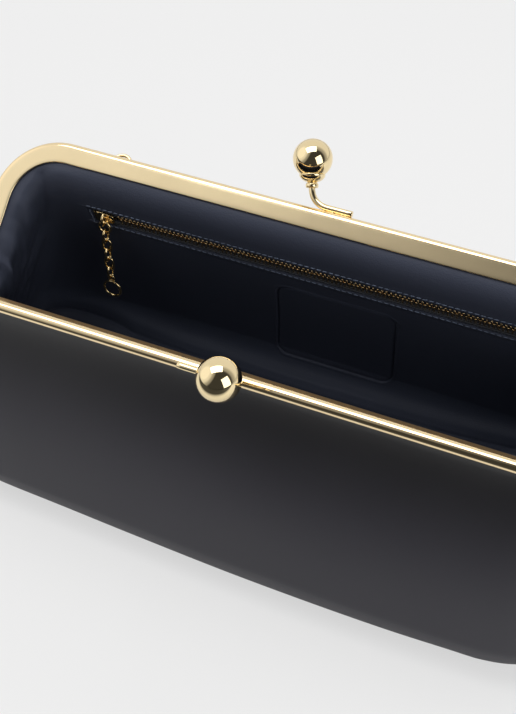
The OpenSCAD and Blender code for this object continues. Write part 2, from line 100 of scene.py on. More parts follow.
def mix_colour(tree, factor, a, b, how="MIX"):
    """One colour Mix node, whose colours are its inputs 6 and 7; returns its colour socket."""
    return add_node(tree, "Mix", {"Factor": factor, 6: a, 7: b}, data_type="RGBA", blend_type=how).outputs[2]


def grey(level):
    """A neutral colour."""
    return (level, level, level, 1)


def new_tree(owner):
    """Turns on the nodes of a new material or world and empties them; returns the tree."""
    owner.use_nodes = True
    owner.node_tree.nodes.clear()
    return owner.node_tree


# The table is a plain pale sheet of card that runs far past the picture. In front of the picture it gets
# dark: what the object reflects from there is the dim room.
far, floor_z, room_tone = 6, -0.0004, grey(0.85)
floor_mesh = bpy.data.meshes.new("floor")
floor_mesh.from_pydata([(x, y, floor_z) for x, y in ((-far, -far), (far, -far), (far, far), (-far, far))], [],
                       [(0, 1, 2, 3)])
floor = bpy.data.objects.new("floor", floor_mesh)
bpy.context.collection.objects.link(floor)
floor_mesh.materials.append(bpy.data.materials.new("pale_card"))
tree = new_tree(floor_mesh.materials[0])
from_camera = add_node(tree, "LightPath").outputs["Is Camera Ray"]
spot = add_node(tree, "TexCoord").outputs["Object"]
forward = add_node(tree, "SeparateXYZ", {0: spot}).outputs["Y"]
dim = math_node(tree, "SUBTRACT", eased(tree, forward, -0.16, -0.32, 0, 1), from_camera, clamp=True)
card = add_node(tree, "BsdfPrincipled", {"Base Color": mix_colour(tree, dim, grey(0.90), grey(0.05)),
                                         "Roughness": 0.75, "Specular IOR Level": 0.2})
# The camera sees the card mostly at one even pale tone, and far off only so, as it sees the room behind it
span_out = add_node(tree, "VectorMath", {0: spot}, operation="LENGTH").outputs["Value"]
share = math_node(tree, "MULTIPLY", eased(tree, span_out, 0.35, 1.1, 0.7, 1), from_camera)
even = add_node(tree, "Emission", {"Color": room_tone})
blend = add_node(tree, "MixShader", {0: share, 1: card.outputs[0], 2: even.outputs[0]})
add_node(tree, "OutputMaterial", {"Surface": blend.outputs[0]})


lock_at = Vector((0.0, -0.03, 0.10))


def softbox(name, towards, distance, size, watts, spin=0.0):
    """A rectangular studio light: it hangs in the direction towards, as seen from the lock, and faces it."""
    data = bpy.data.lights.new(name, "AREA")
    data.shape = "RECTANGLE"
    data.size, data.size_y = size
    data.energy = watts
    light = bpy.data.objects.new(name, data)
    bpy.context.collection.objects.link(light)
    way = Vector(towards).normalized()
    light.location = lock_at + way * distance
    light.rotation_mode = "QUATERNION"
    light.rotation_quaternion = way.to_track_quat("Z", "Y") @ Quaternion((0, 0, 1), np.radians(spin))
    light.visible_camera = False


softbox("top_softbox", (-0.16, 0.06, 0.98), 1.3, (1.2, 0.75), 10.0, -42)
softbox("side_softbox", (0.82, -0.37, 0.40), 1.4, (0.95, 1.15), 7.0)

# The room: pale walls all round, dark on the camera's side, and a broad glow on the left
world = bpy.data.worlds.new("studio")
room = new_tree(world)
bpy.context.scene.world = world
where = add_node(room, "TexCoord").outputs["Generated"]


def lobe(towards, steps):
    """Grey by the cosine between a direction and towards: steps of (cosine, grey), eased between."""
    dot = add_node(room, "VectorMath", {0: where, 1: Vector(towards).normalized()}, operation="DOT_PRODUCT")
    scaled = add_node(room, "MapRange", {"From Min": -1, "Value": dot.outputs["Value"]})
    ramp = add_node(room, "ValToRGB", {"Fac": scaled.outputs["Result"]})
    ramp.color_ramp.interpolation = "EASE"
    while len(ramp.color_ramp.elements) < len(steps):
        ramp.color_ramp.elements.new(0.5)
    for element, (cosine, level) in zip(ramp.color_ramp.elements, steps):
        element.position = (cosine + 1) / 2
        element.color = grey(level)
    return ramp.outputs["Color"]


walls = lobe((0.45, -0.80, 0.42), [(-0.10, 0.86), (0.28, 0.40), (0.52, 0.05)])
glow = lobe((-0.85, -0.20, 0.48), [(0.52, 0.0), (0.68, 0.36), (0.87, 0.92), (0.93, 1.12)])
dressed = add_node(room, "Background", {"Color": mix_colour(room, 1.0, walls, glow, "LIGHTEN")})
plain = add_node(room, "Background", {"Color": room_tone})
seen = add_node(room, "LightPath").outputs["Is Camera Ray"]
backdrop = add_node(room, "MixShader", {0: seen, 1: dressed.outputs[0], 2: plain.outputs[0]})
add_node(room, "OutputWorld", {"Surface": backdrop.outputs[0]})

# ---------------------------------------------------------------- Frame halves
# Each half is a channel pressed from sheet brass and plated pale gold: a flat inner face, a rounded outer
# edge and a plain outer face, run along the bar, round both corners and down both arms to a hinge ear.
hinge_z, open_angle = 78.0, np.radians(51.0)
frame_half, frame_top, corner_r = 149.0, 65.0, 31.0
corner_x, corner_y = frame_half - corner_r, frame_top - corner_r
channel_w, channel_t, sheet, meet_gap = 9.6, 4.8, 0.9, 0.2
outer_off, mid_off, edge_r = meet_gap + channel_t, meet_gap + channel_t / 2, channel_t / 2
channel_end = 10.0
arm_run, arc_run, bar_run = corner_y - channel_end, corner_r * np.pi / 2, 2 * corner_x
whole_run = 2 * arm_run + 2 * arc_run + bar_run
both_hands, both_sides = (("left", -1), ("right", 1)), (("front", -1), ("back", 1))


def swing(points, side):
    """Carries upright points (x, off, up) of a frame half to the open purse. The front half is the back half
    turned half round, so its x changes sign too."""
    x, off, up = np.moveaxis(np.asarray(points, float), -1, 0)
    y = off * np.cos(open_angle) + up * np.sin(open_angle)
    z = up * np.cos(open_angle) - off * np.sin(open_angle)
    return np.stack([side * x, side * y, hinge_z + z], -1)


def build(name, points, faces, uv=None):
    """A smooth mesh from points in millimetres and lists of faces with the same number of corners each. uv
    has a pair in millimetres for every corner."""
    mesh = bpy.data.meshes.new(name)
    sizes = np.concatenate([np.full(len(f), f.shape[1]) for f in faces])
    corners = np.concatenate([f.ravel() for f in faces]).astype(np.int32)
    mesh.vertices.add(len(points))
    mesh.vertices.foreach_set("co", (points * MM).ravel().astype(np.float32))
    mesh.loops.add(len(corners))
    mesh.loops.foreach_set("vertex_index", corners)
    mesh.polygons.add(len(sizes))
    mesh.polygons.foreach_set("loop_start", np.concatenate([[0], np.cumsum(sizes)[:-1]]).astype(np.int32))
    mesh.polygons.foreach_set("use_smooth", np.ones(len(sizes), bool))
    mesh.update(calc_edges=True)
    if uv is not None:
        mesh.uv_layers.new(name="surface").data.foreach_set("uv", (uv * MM).ravel().astype(np.float32))
    mesh.validate()
    piece = bpy.data.objects.new(name, mesh)
    bpy.context.collection.objects.link(piece)
    return piece


def skin(name, *grids, along=False, caps=True, uv=None, ends=None):
    """A mesh from grids of points in millimetres, rows by columns: each row is closed on itself. along joins
    the last row to the first; without it, caps close both ends of the tube with a fan. ends adds quads
    between the points of a single grid."""
    all_points, all_faces, offset = [], [], 0
    for g in grids:
        m, n = g.shape[:2]
        i, j = np.meshgrid(np.arange(m if along else m - 1), np.arange(n), indexing="ij")
        i2, j2 = (i + 1) % m, (j + 1) % n
        all_faces.append(np.stack([i * n + j, i2 * n + j, i2 * n + j2, i * n + j2], -1).reshape(-1, 4) + offset)
        all_points.append(g.reshape(-1, 3))
        offset += m * n
        if caps and not along:
            all_points.append(g[[0, -1]].mean(1))
            k = np.arange(n)
            all_faces += [
                np.stack([offset - m * n + k, offset - m * n + (k + 1) % n, np.full(n, offset)], -1),
                np.stack([offset - n + (k + 1) % n, offset - n + k, np.full(n, offset + 1)], -1)]
            offset += 2
    if uv is not None:
        uv = np.stack([uv[i, j], uv[i2, j], uv[i2, j2], uv[i, j2]], 2).reshape(-1, 2)
    if ends is not None:
        all_faces.append(ends)
        uv = np.concatenate([uv, np.zeros((ends.size, 2))])
    return build(name, np.concatenate(all_points), all_faces, uv)


def finish_piece(piece, material, slot, body, *replaced):
    """Gives a piece its material, makes it ride on its body when one is named and hides the CAD nodes that it
    stands for; slot is not used.
    """
    piece.data.materials.clear()
    piece.data.materials.append(material)
    if body:
        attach(piece, body)
    if replaced:
        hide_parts(*replaced)
    return piece


def effect_group(name, inputs):
    """A shader node group with named inputs and their defaults, that puts out Colour, Roughness and Height.
    Returns it and the sockets that bring its inputs."""
    group = bpy.data.node_groups.new(name, "ShaderNodeTree")
    for label, value in inputs.items():
        kind = "NodeSocketFloat" if isinstance(value, float) else "NodeSocketColor"
        group.interface.new_socket(label, in_out="INPUT", socket_type=kind).default_value = value
    for label, kind in (("Colour", "Color"), ("Roughness", "Float"), ("Height", "Float")):
        group.interface.new_socket(label, in_out="OUTPUT", socket_type="NodeSocket" + kind)
    return group, group.nodes.new("NodeGroupInput").outputs


def put_out(group, **sockets):
    """Links sockets to a group's outputs of the same names."""
    out = group.nodes.new("NodeGroupOutput")
    for label, socket in sockets.items():
        group.links.new(socket, out.inputs[label])


def noise_node(tree, vector, scale, detail=3.0, roughness=0.5, distortion=0.0):
    """One Noise Texture on a vector socket; returns its factor."""
    return add_node(tree, "TexNoise", {"Vector": vector, "Scale": scale, "Detail": detail,
                                       "Roughness": roughness, "Distortion": distortion}).outputs["Fac"]


def wander(tree, value, size):
    """(value - 0.5) times size, as a socket."""
    return math_node(tree, "MULTIPLY", math_node(tree, "SUBTRACT", value, 0.5), size)


def finish(name, effect_tree, values, bump, depth, plain_values):
    """A material whose colour, roughness and bump, of a strength and a depth in metres, come from an effect
    group with its own values; plain_values are set on the Principled shader itself."""
    material = bpy.data.materials.new(name)
    tree = new_tree(material)
    effect = add_node(tree, "Group", values, node_tree=effect_tree).outputs
    relief = add_node(tree, "Bump", {"Strength": bump, "Distance": depth, "Height": effect["Height"]})
    shader = add_node(tree, "BsdfPrincipled", {"Base Color": effect["Colour"], "Roughness": effect["Roughness"],
                                               "Normal": relief.outputs["Normal"], **plain_values})
    add_node(tree, "OutputMaterial", {"Surface": shader.outputs[0]})
    return material


# Plated metal: a faint haze of polishing and fine specks, stronger where the plate is only brushed
group, given = effect_group("plated_surface", {"Colour": (0.8, 0.7, 0.5, 1), "Haze": 0.03, "Roughness": 0.1})
coords = add_node(group, "TexCoord").outputs["Object"]
cloud, fine = noise_node(group, coords, 55.0), noise_node(group, coords, 900.0, 2.0)
spread, speck = wander(group, cloud, given["Haze"]), wander(group, fine, given["Haze"])
rough = math_node(group, "ADD", math_node(group, "ADD", given["Roughness"], spread), speck, clamp=True)
value = math_node(group, "ADD", 1.0, math_node(group, "MULTIPLY", spread, 1.2))
dull = add_node(group, "HueSaturation", {"Color": given["Colour"], "Value": value})
put_out(group, Colour=dull.outputs[0], Roughness=rough,
        Height=math_node(group, "ADD", cloud, math_node(group, "MULTIPLY", fine, 0.12)))
plated_surface = group


def plated(name, colour, roughness, haze, bump=0.02):
    """A plated metal finish: colour, base roughness and how cloudy the plate is."""
    return finish(name, plated_surface, {"Colour": (*colour, 1), "Haze": haze, "Roughness": roughness}, bump,
                  0.0005, {"Metallic": 1.0})


pale_gold = plated("pale_gold", (0.90, 0.72, 0.44), 0.085, 0.05)
satin_gold = plated("satin_gold", (0.90, 0.735, 0.455), 0.16, 0.07, 0.02)
# the front half's inner face: the same plate as the back's satin gold, painted a darker brown as painted shade
shaded_front_gold = plated("shaded_front_gold", (0.64, 0.43, 0.21), 0.34, 0.05, 0.02)
bright_gold = plated("bright_gold", (0.88, 0.72, 0.43), 0.045, 0.02)


def channel_profile():
    """The channel's closed outline as (depth from the outer edge, off): round the outer edge, along the
    outer face, back round its lip and up inside the channel, to the inner face's lip and along it."""
    lip, inside = sheet / 2, edge_r - sheet
    a = np.radians(np.linspace(-90, 90, 25))
    outside = np.stack([edge_r - edge_r * np.cos(a), mid_off + edge_r * np.sin(a)], -1)
    b = np.radians(np.linspace(90, -90, 9))
    outer_lip = np.stack([channel_w - lip + lip * np.cos(b), outer_off - lip + lip * np.sin(b)], -1)
    c = np.radians(np.linspace(90, -90, 13))
    hollow = np.stack([edge_r - inside * np.cos(c), mid_off + inside * np.sin(c)], -1)
    inner_lip = np.stack([channel_w - lip + lip * np.cos(b), meet_gap + lip + lip * np.sin(b)], -1)
    face = np.stack([np.linspace(channel_w - lip, edge_r, 6)[1:-1], np.full(4, meet_gap)], -1)
    back = face[::-1] * [1, 0] + [0, outer_off]
    return np.concatenate([outside, back, outer_lip, hollow, inner_lip, face])


def along_frame(depth, off, s):
    """Upright points of a line at a depth inside the frame's outer edge. s from 0 to 1 goes up the left arm,
    round the corner, along the bar, round and down the right arm; depth, off and s go together."""
    t = np.abs(s - 0.5) * whole_run
    hand = np.where(s < 0.5, -1.0, 1.0)
    on_bar, on_arm = t <= bar_run / 2, t > bar_run / 2 + arc_run
    angle = np.clip((t - bar_run / 2) / corner_r, 0, np.pi / 2)
    r = corner_r - depth
    x = np.where(on_bar, t, corner_x + r * np.sin(angle))
    y = np.where(on_bar, frame_top - depth, corner_y + r * np.cos(angle))
    y = np.where(on_arm, corner_y - (t - bar_run / 2 - arc_run), y)
    return np.stack([hand * x, off + 0 * x, y], -1)


def frame_stations():
    """Places along the frame: sparse on the straight runs and close together round the corners."""
    half_way = np.concatenate([np.linspace(0, bar_run / 2, 24), bar_run / 2 + np.linspace(0, arc_run, 40)[1:],
                               bar_run / 2 + arc_run + np.linspace(0, arm_run, 8)[1:]])
    return 0.5 + np.concatenate([-half_way[:0:-1], half_way]) / whole_run


def unit_ways(count):
    """Unit ways (cosine, sine) in even steps round a circle."""
    a = np.linspace(0, 2 * np.pi, count, endpoint=False)
    return np.stack([np.cos(a), np.sin(a)], -1)


def ring_ways(first, second, count):
    """Unit ways round a circle at every point, from two ways across it: points by count."""
    cosine, sine = unit_ways(count).T[..., None]
    return cosine * first[:, None] + sine * second[:, None]


ear_t, ear_r, rivet_r = 1.2, 4.2, 1.25


def ear_plate(inset, hand, side):
    """A hinge ear, as a ring of profiles round the rivet's bore: up the bore, across the face, round the
    rounded edge of the outline and back. The outline is the hull of the ear's disc and its neck."""
    neck = np.array([[12.0, outer_off - 0.5], [12.0, meet_gap + 0.5], [8.0, meet_gap + 0.5]])
    cloud = np.concatenate([ear_r * unit_ways(72), neck])
    way, normals = unit_ways(120), unit_ways(720)
    # the hull's radius along each way is the least of support / cosine over all supporting directions
    support = (normals @ cloud.T).max(1)
    cosine = way @ normals.T
    edge = np.where(cosine > 0.02, support / np.maximum(cosine, 0.02), 1e9).min(1)
    bevel, hole = 0.25, rivet_r + 0.05
    radial = np.stack([np.full_like(edge, hole), np.full_like(edge, hole), hole + 0.15 + 0 * edge,
                       edge - bevel, edge - 0.07, edge, edge, edge - 0.07, edge - bevel,
                       hole + 0.15 + 0 * edge], 1)
    level = np.array([0.15, ear_t - 0.15, ear_t, ear_t, ear_t - 0.07, ear_t - bevel, bevel, 0.07, 0, 0])
    x = hand * (frame_half - inset - np.broadcast_to(level, radial.shape))
    up, off = radial * way[:, :1], radial * way[:, 1:]
    return swing(np.stack([x, off, up], -1)[:, ::-1 if hand > 0 else 1], side)


for name, side, ear_inset, face_finish in (("front_frame", -1, 0.1, shaded_front_gold),
                                           ("back_frame", 1, 1.4, satin_gold)):
    profile, s = channel_profile(), frame_stations()
    grid = along_frame(profile[None, :, 0], profile[None, :, 1], s[:, None])
    channel = skin(name + "_channel", swing(grid, side))
    finish_piece(channel, pale_gold, "pale_gold", name + "_half", name)
    # the flat inner face, the profile's last 9 columns, is brushed; on the front half its colour is painted a
    # darker brown, as painted shade; the edge and the outer face are polished
    channel.data.materials.append(face_finish)
    inner_face_cells = np.zeros((len(s) - 1, len(profile)), np.int32)
    inner_face_cells[:, -9:] = 1
    index = np.zeros(len(channel.data.polygons), np.int32)
    index[:inner_face_cells.size] = inner_face_cells.ravel()
    channel.data.polygons.foreach_set("material_index", index)
    ears = skin(name + "_ears", *(ear_plate(ear_inset, hand, side) for hand in (-1, 1)), along=True)
    finish_piece(ears, pale_gold, "pale_gold", name + "_half")


def turned(name, profile, centre, axis, count=48):
    """A turned piece: a profile of (radius, height) pairs spun about an axis through centre."""
    r, h = np.asarray(profile, float).T
    axis = np.asarray(axis, float) / np.linalg.norm(axis)
    other = np.cross(axis, [0.0, 0.0, 1.0]) if abs(axis[2]) < 0.9 else np.cross(axis, [1.0, 0.0, 0.0])
    other /= np.linalg.norm(other)
    spokes = ring_ways(other[None], np.cross(axis, other)[None], count)
    return skin(name, np.asarray(centre) + h[:, None, None] * axis + r[:, None, None] * spokes)


near_axis = 0.001


def rounded(r, h0, h1, edge, steps=5):
    """Profile of a disc or rod from h0 to h1 with its two rims rounded by edge."""
    a = np.linspace(0, np.pi / 2, steps)
    low = np.stack([r - edge + edge * np.sin(a), h0 + edge - edge * np.cos(a)], -1)
    high = np.stack([r - edge + edge * np.cos(a), h1 - edge + edge * np.sin(a)], -1)
    return np.concatenate([[[near_axis, h0]], low, high, [[near_axis, h1]]])


# Hinge rivets: a shank through both pairs of ears, a low domed head outside and a small head inside
rivet_from = frame_half - 2 * ear_t - 0.3
for label, hand in both_hands:
    dome = np.radians(np.linspace(0, 90, 9))
    head = np.stack([2.8 * np.cos(dome), frame_half + 0.12 + 0.78 * np.sin(dome)], -1)
    profile = np.concatenate([
        [[near_axis, rivet_from - 0.9], [2.1, rivet_from - 0.9], [2.5, rivet_from - 0.6], [2.5, rivet_from],
         [rivet_r, rivet_from], [rivet_r, frame_half], [2.8, frame_half]], head])
    profile[-1, 0] = near_axis
    rivet = turned(label + "_hinge_rivet_head", profile, (0, 0, hinge_z), (hand, 0, 0))
    finish_piece(rivet, pale_gold, "pale_gold", "purse_body", label + "_hinge_rivet")

# ---------------------------------------------------------------- Strap loops
# Two half rings of plated wire, soldered to the back bar's outer face, for a strap's snap hooks.
def tube(path, radius, count=20):
    """A round tube along a path of points: rings square to the path, each turned as little as possible from
    the one before. radius is one number or one for each point."""
    path = np.asarray(path, float)
    way = np.gradient(path, axis=0)
    way /= np.linalg.norm(way, axis=1, keepdims=True)
    first = np.cross(way[0], [0.3, 0.5, 0.8])
    first /= np.linalg.norm(first)
    sides = [first]
    for w in way[1:]:
        side = sides[-1] - w * (sides[-1] @ w)
        sides.append(side / np.linalg.norm(side))
    sides = np.array(sides)
    radius = np.broadcast_to(radius, len(path))[:, None, None]
    return path[:, None] + radius * ring_ways(sides, np.cross(way, sides), count)


loop_wire, loop_r, loop_at, loop_lean, loop_foot = 1.6, 4.4, 95.0, np.radians(14), 60.0
a = np.linspace(0, np.pi, 33)
arch = np.concatenate([[[loop_r, 0.0]], np.stack([loop_r * np.cos(a), 2.6 + loop_r * np.sin(a)], -1),
                       [[-loop_r, 0.0]]])
for label, hand in both_hands:
    x = hand * loop_at + arch[:, 0]
    off = outer_off + loop_wire / 2 + arch[:, 1] * np.sin(loop_lean)
    up = loop_foot + arch[:, 1] * np.cos(loop_lean)
    ring = skin(label + "_strap_ring", swing(tube(np.stack([x, off, up], -1), loop_wire / 2), 1))
    finish_piece(ring, bright_gold, "pale_gold", "back_frame_half", label + "_strap_loop")

# ---------------------------------------------------------------- Kiss lock
# On each half a thick wire is soldered along the bar's outer edge, turns up in one smooth bend and carries a
# hollow polished ball in a shallow bowl with a bead below it. The balls snap past each other when it shuts.
ball_d, wire_d, ball_reach, ball_side, leg_end = 17.0, 2.8, 84.8, 8.55, 14.6
leg_off, leg_up, ball_off = mid_off + 0.4, frame_top + wire_d / 2 + 0.05, 0.1
rise = ball_reach - leg_up
stem_tilt = np.arctan2(leg_off - ball_off, rise)
stem_rise = np.hypot(leg_off - ball_off, rise)
stem_foot, ball_r, bend_cut = 3.9, ball_d / 2, 7.4
stem_way = np.array([-(ball_side - stem_foot), stem_rise])
stem_len = np.hypot(*stem_way)
stem_way /= stem_len


def lock_points(points, side):
    """Carries points (x, across, up) of the upright lock drawing to the open purse."""
    x, across, up = np.moveaxis(np.asarray(points, float), -1, 0)
    off = leg_off + across * np.cos(stem_tilt) - up * np.sin(stem_tilt)
    y = leg_up + across * np.sin(stem_tilt) + up * np.cos(stem_tilt)
    return swing(np.stack([x, off, y], -1), side)


for name, side in both_sides:
    corner = np.array([-stem_foot, 0.0])
    t = np.linspace(0, 1, 25)[:, None]
    start, stop = corner + [bend_cut, 0], corner + bend_cut * stem_way
    bend = (1 - t) ** 2 * start + 2 * t * (1 - t) * corner + t * t * stop
    leg = np.stack([np.linspace(leg_end - 0.12, start[0], 8)[:-1], np.zeros(7)], -1)
    stem = corner + stem_way * np.linspace(bend_cut, stem_len - ball_r + 1.5, 8)[1:, None]
    flat = np.concatenate([[[leg_end, 0.0]], leg, bend, stem])
    route = np.stack([flat[:, 0], 0 * flat[:, 0], flat[:, 1]], -1)
    radius = np.full(len(route), wire_d / 2)
    radius[0] = wire_d / 2 - 0.12
    wire = skin(name + "_lock_arm", lock_points(tube(route, radius, 28), side))
    finish_piece(wire, bright_gold, "pale_gold", name + "_frame_half", name + "_lock_wire")

    centre = lock_points([-ball_side, 0.0, stem_rise], side)
    foot = lock_points([corner[0], 0.0, 0.0], side)
    axis = (foot - centre) / np.linalg.norm(foot - centre)
    a = np.linspace(0, np.pi, 65)
    sphere = np.stack([np.maximum(ball_r * np.sin(a), near_axis), -ball_r * np.cos(a)], -1)
    ball = turned(name + "_lock_ball_shell", sphere, centre, axis, 128)
    finish_piece(ball, bright_gold, "pale_gold", name + "_frame_half", name + "_lock_ball")
    a = np.radians(np.linspace(4, 64, 15))
    bowl = np.stack([5.6 * np.cos(a), 6.75 + 3.5 * np.sin(a)], -1)
    bead = rounded(2.75, 10.3, 12.48, 0.75)[1:]
    cup = np.concatenate([[[near_axis, 6.0], [4.9, 6.6], [5.35, 6.68], [5.53, 6.8]], bowl, [[2.0, 10.2]], bead])
    collar = turned(name + "_lock_cup", cup, centre, axis, 96)
    finish_piece(collar, bright_gold, "pale_gold", name + "_frame_half", name + "_lock_collar")

    # solder: a low uneven fillet that runs out of sight under the leg
    run = np.linspace(-stem_foot + 5.9, leg_end - 1.0, 60)
    lumps = 0.36 + 0.07 * np.sin(run * 1.3) + 0.05 * np.sin(run * 3.1 + 1)
    seat = np.stack([run, leg_off + 0 * run, frame_top - 0.12 + 0 * run], -1)
    fillet = tube(seat, lumps, 16)
    fillet[..., 1] = leg_off + (fillet[..., 1] - leg_off) * 2.2
    solder = skin(name + "_solder_fillet", swing(fillet, side))
    finish_piece(solder, bright_gold, "pale_gold", name + "_frame_half", name + "_lock_solder")

# ---------------------------------------------------------------- Leather walls
# The body is soft black leather with a dark navy leather lining, cut as two panels, two gussets that fold
# under the hinges and a flat base. All layers are tucked into the channels with a paper cord.
body_half, body_depth, base_roll = 150.0, 64.5, 18.0
side_share, widest_z = 0.78, 20.0
leather_t, lining_from, lining_to = 1.3, 4.2, 5.0
arm_x, inner_r, arm_stop = frame_half - channel_w, corner_r - channel_w, 15.5
arc_share, arm_share = 0.42, 0.9
press_top = outer_off - sheet - 0.1
press = (press_top - meet_gap - sheet - 0.1) / 5.0


def rim(q):
    """The channel's inner edge, upright: x, height, and the way inwards. q runs from -1 to 1 along the bar,
    and on to 2 round the corner, down the arm and under the hinge."""
    s, hand = np.maximum(0, np.abs(q) - 1), np.where(q < 0, -1.0, 1.0)
    a = np.radians(90 - 90 * np.minimum(s, arc_share) / arc_share)
    t = np.clip((s - arc_share) / (arm_share - arc_share), 0, 1)
    on_bar, on_arc = np.abs(q) <= 1, (np.abs(q) > 1) & (s <= arc_share)
    x = np.where(on_bar, corner_x * q, hand * np.where(on_arc, corner_x + inner_r * np.cos(a), arm_x))
    y = np.where(on_bar, frame_top - channel_w,
                 np.where(on_arc, corner_y + inner_r * np.sin(a), corner_y + (arm_stop - corner_y) * t))
    in_x = np.where(on_bar, 0, hand * np.where(on_arc, -np.cos(a), -1.0))
    in_y = np.where(on_bar, -1.0, np.where(on_arc, -np.sin(a), 0.0))
    return x, y, in_x, in_y, s, hand


def opened(x, off, y, side):
    """The open place of an upright point, keeping x."""
    return np.stack([x, side * (off * np.cos(open_angle) + y * np.sin(open_angle)),
                     hinge_z + y * np.cos(open_angle) - off * np.sin(open_angle)], -1)


def rim_point(q, e, push, side):
    """A point at the rim, at layer depth e, pushed inwards from the channel's edge. Past the end of the arm
    it leaves the channel for the notch of the gusset under the hinge."""
    x, y, in_x, in_y, s, hand = rim(q)
    held = opened(x + push * in_x, press_top - press * e + 0 * x, y + push * in_y, side)
    free = np.maximum(0, (s - arm_share) / (1 - arm_share))[..., None]
    notch = np.stack([hand * (arm_x - 2 - 0.5 * e), 0 * x, hinge_z - 6 - 0.5 * push + 0 * x], -1)
    return held + (notch - held) * free


def loop(q, half, depth, side, power):
    """A superellipse round the body, on the same q."""
    s, hand = np.maximum(0, np.abs(q) - 1), np.where(q < 0, -1.0, 1.0)
    flat = side_share * np.clip(q, -1, 1)
    t = np.arccos(side_share ** (power / 2)) * (1 - s) ** (power / 2)
    on_bar = np.abs(q) <= 1
    return (np.where(on_bar, half * flat, hand * half * np.cos(t) ** (2 / power)),
            side * depth * np.where(on_bar, (1 - np.abs(flat) ** power) ** (1 / power),
                                    np.abs(np.sin(t)) ** (2 / power)))


def wall(q, v, e, side):
    """A point of the wall at layer depth e. v is -1 at the tucked edge, 0 at the channel, 1 at the widest
    line and 2 at the base: a Bezier curve from rim to widest line, then a quarter roll."""
    q, v, e = np.broadcast_arrays(np.asarray(q, float), np.asarray(v, float), np.asarray(e, float))
    wide_x, wide_y = loop(q, body_half - e, body_depth - e, side, 6)
    wide = np.stack([wide_x, wide_y, widest_z + 0 * wide_x], -1)
    top = rim_point(q, e, 0 * q, side)
    out = np.stack([(wide_x / body_half) ** 5 / body_half, (wide_y / body_depth) ** 5 / body_depth,
                    0 * wide_x], -1)
    out /= np.linalg.norm(out, axis=-1, keepdims=True)
    leave = rim_point(q, e, 12.0 + 0 * q, side) - 1.3 * e[..., None] * out
    up_x, up_y = loop(q, body_half - 7 - e, body_depth - 7 - e, side, 7)
    up = np.stack([up_x, up_y, widest_z + 42 + 0 * up_x], -1)
    t = np.clip(v, 0, 1)[..., None]
    curve = (1 - t) ** 3 * top + 3 * t * (1 - t) ** 2 * leave + 3 * t * t * (1 - t) * up + t ** 3 * wide
    a = np.radians(90 * (np.clip(v, 1, 2) - 1))
    roll_r = base_roll - e
    low_x, low_y = loop(q, body_half - e - roll_r * (1 - np.cos(a)), body_depth - e - roll_r * (1 - np.cos(a)),
                        side, 6 - 2 * (1 - np.cos(a)))
    low = np.stack([low_x, low_y, e + (widest_z - e) * (1 - np.sin(a))], -1)
    s = np.maximum(0, np.abs(q) - 1)
    tuck = 4.4 + (0.12 - 4.4) * np.clip((s - 0.72) / 0.1, 0, 1)
    tucked = rim_point(q, e, tuck * v, side)
    return np.where((v < 0)[..., None], tucked, np.where((v <= 1)[..., None], curve, low))


def arc_lengths(points):
    """Surface lengths over a grid of points: along the rows at the middle column and down each column."""
    down = np.concatenate([np.zeros((points.shape[0], 1)),
                           np.cumsum(np.linalg.norm(np.diff(points, axis=1), axis=-1), axis=1)], 1)
    middle = points[:, points.shape[1] // 2]
    across = np.concatenate([[0], np.cumsum(np.linalg.norm(np.diff(middle, axis=0), axis=-1))])
    return np.stack([across[:, None] + 0 * down, down], -1)


def ripple(u, v, seed, waves, lowest, highest):
    """A smooth random height over u and v in millimetres: a sum of plane waves, between -1 and 1 or so."""
    rng = np.random.default_rng(seed)
    angle, length = rng.uniform(0, 2 * np.pi, waves), rng.uniform(lowest, highest, waves)
    phase = rng.uniform(0, 2 * np.pi, waves)
    total = 0
    for a, size, p in zip(angle, length, phase):
        total = total + np.sin((u * np.cos(a) + v * np.sin(a)) * 2 * np.pi / size + p)
    return total / np.sqrt(waves)


def bell(x, width):
    """A smooth hump of height 1 and the given half width."""
    return np.exp(-(x / width) ** 2)


def normals_of(points):
    """Unit normals of a grid of points."""
    n = np.cross(np.gradient(points, axis=0), np.gradient(points, axis=1))
    return n / np.maximum(np.linalg.norm(n, axis=-1, keepdims=True), 1e-9)


def leather_sheet(name, outer, inner, uv):
    """One closed piece of leather between an outer and an inner grid of points, edges included."""
    strip = np.concatenate([outer, inner[:, ::-1]], 1)
    wide = np.concatenate([uv, uv[:, ::-1] + [0, 1000.0]], 1)
    m, total = strip.shape[:2]
    k = np.arange(outer.shape[1] - 1)
    first = np.stack([k, k + 1, total - 2 - k, total - 1 - k], -1)
    return skin(name, strip, caps=False, uv=wide,
                ends=np.concatenate([first, first[:, ::-1] + (m - 1) * total]))


# Leather finish: pores, fine creases and a soft change of sheen, read from the surface lengths, and painted
# shade that darkens the colour near the channel
group, given = effect_group("leather_surface", {
    "Colour": (0.02, 0.02, 0.02, 1), "Tint": (0.03, 0.03, 0.03, 1), "Roughness": 0.4, "Grain": 900.0,
    "Crease": 0.3, "Rim_Shade": 0.6})
coords = add_node(group, "TexCoord").outputs["UV"]
cells = add_node(group, "TexVoronoi", {"Vector": coords, "Scale": given["Grain"]}, feature="DISTANCE_TO_EDGE")
edge = add_node(group, "MapRange", {"Value": cells.outputs["Distance"], "From Max": 0.22}).outputs["Result"]
pebble, patchy = noise_node(group, coords, 420.0, 4.0, 0.6), noise_node(group, coords, 18.0)
crease = noise_node(group, coords, 90.0, 6.0, 0.62, 1.6)
height = math_node(group, "ADD", math_node(group, "MULTIPLY", edge, 0.35),
                   math_node(group, "MULTIPLY", pebble, 0.5))
height = math_node(group, "ADD", height, math_node(group, "MULTIPLY", crease, given["Crease"]))
down = add_node(group, "SeparateXYZ", {0: coords}).outputs["Y"]
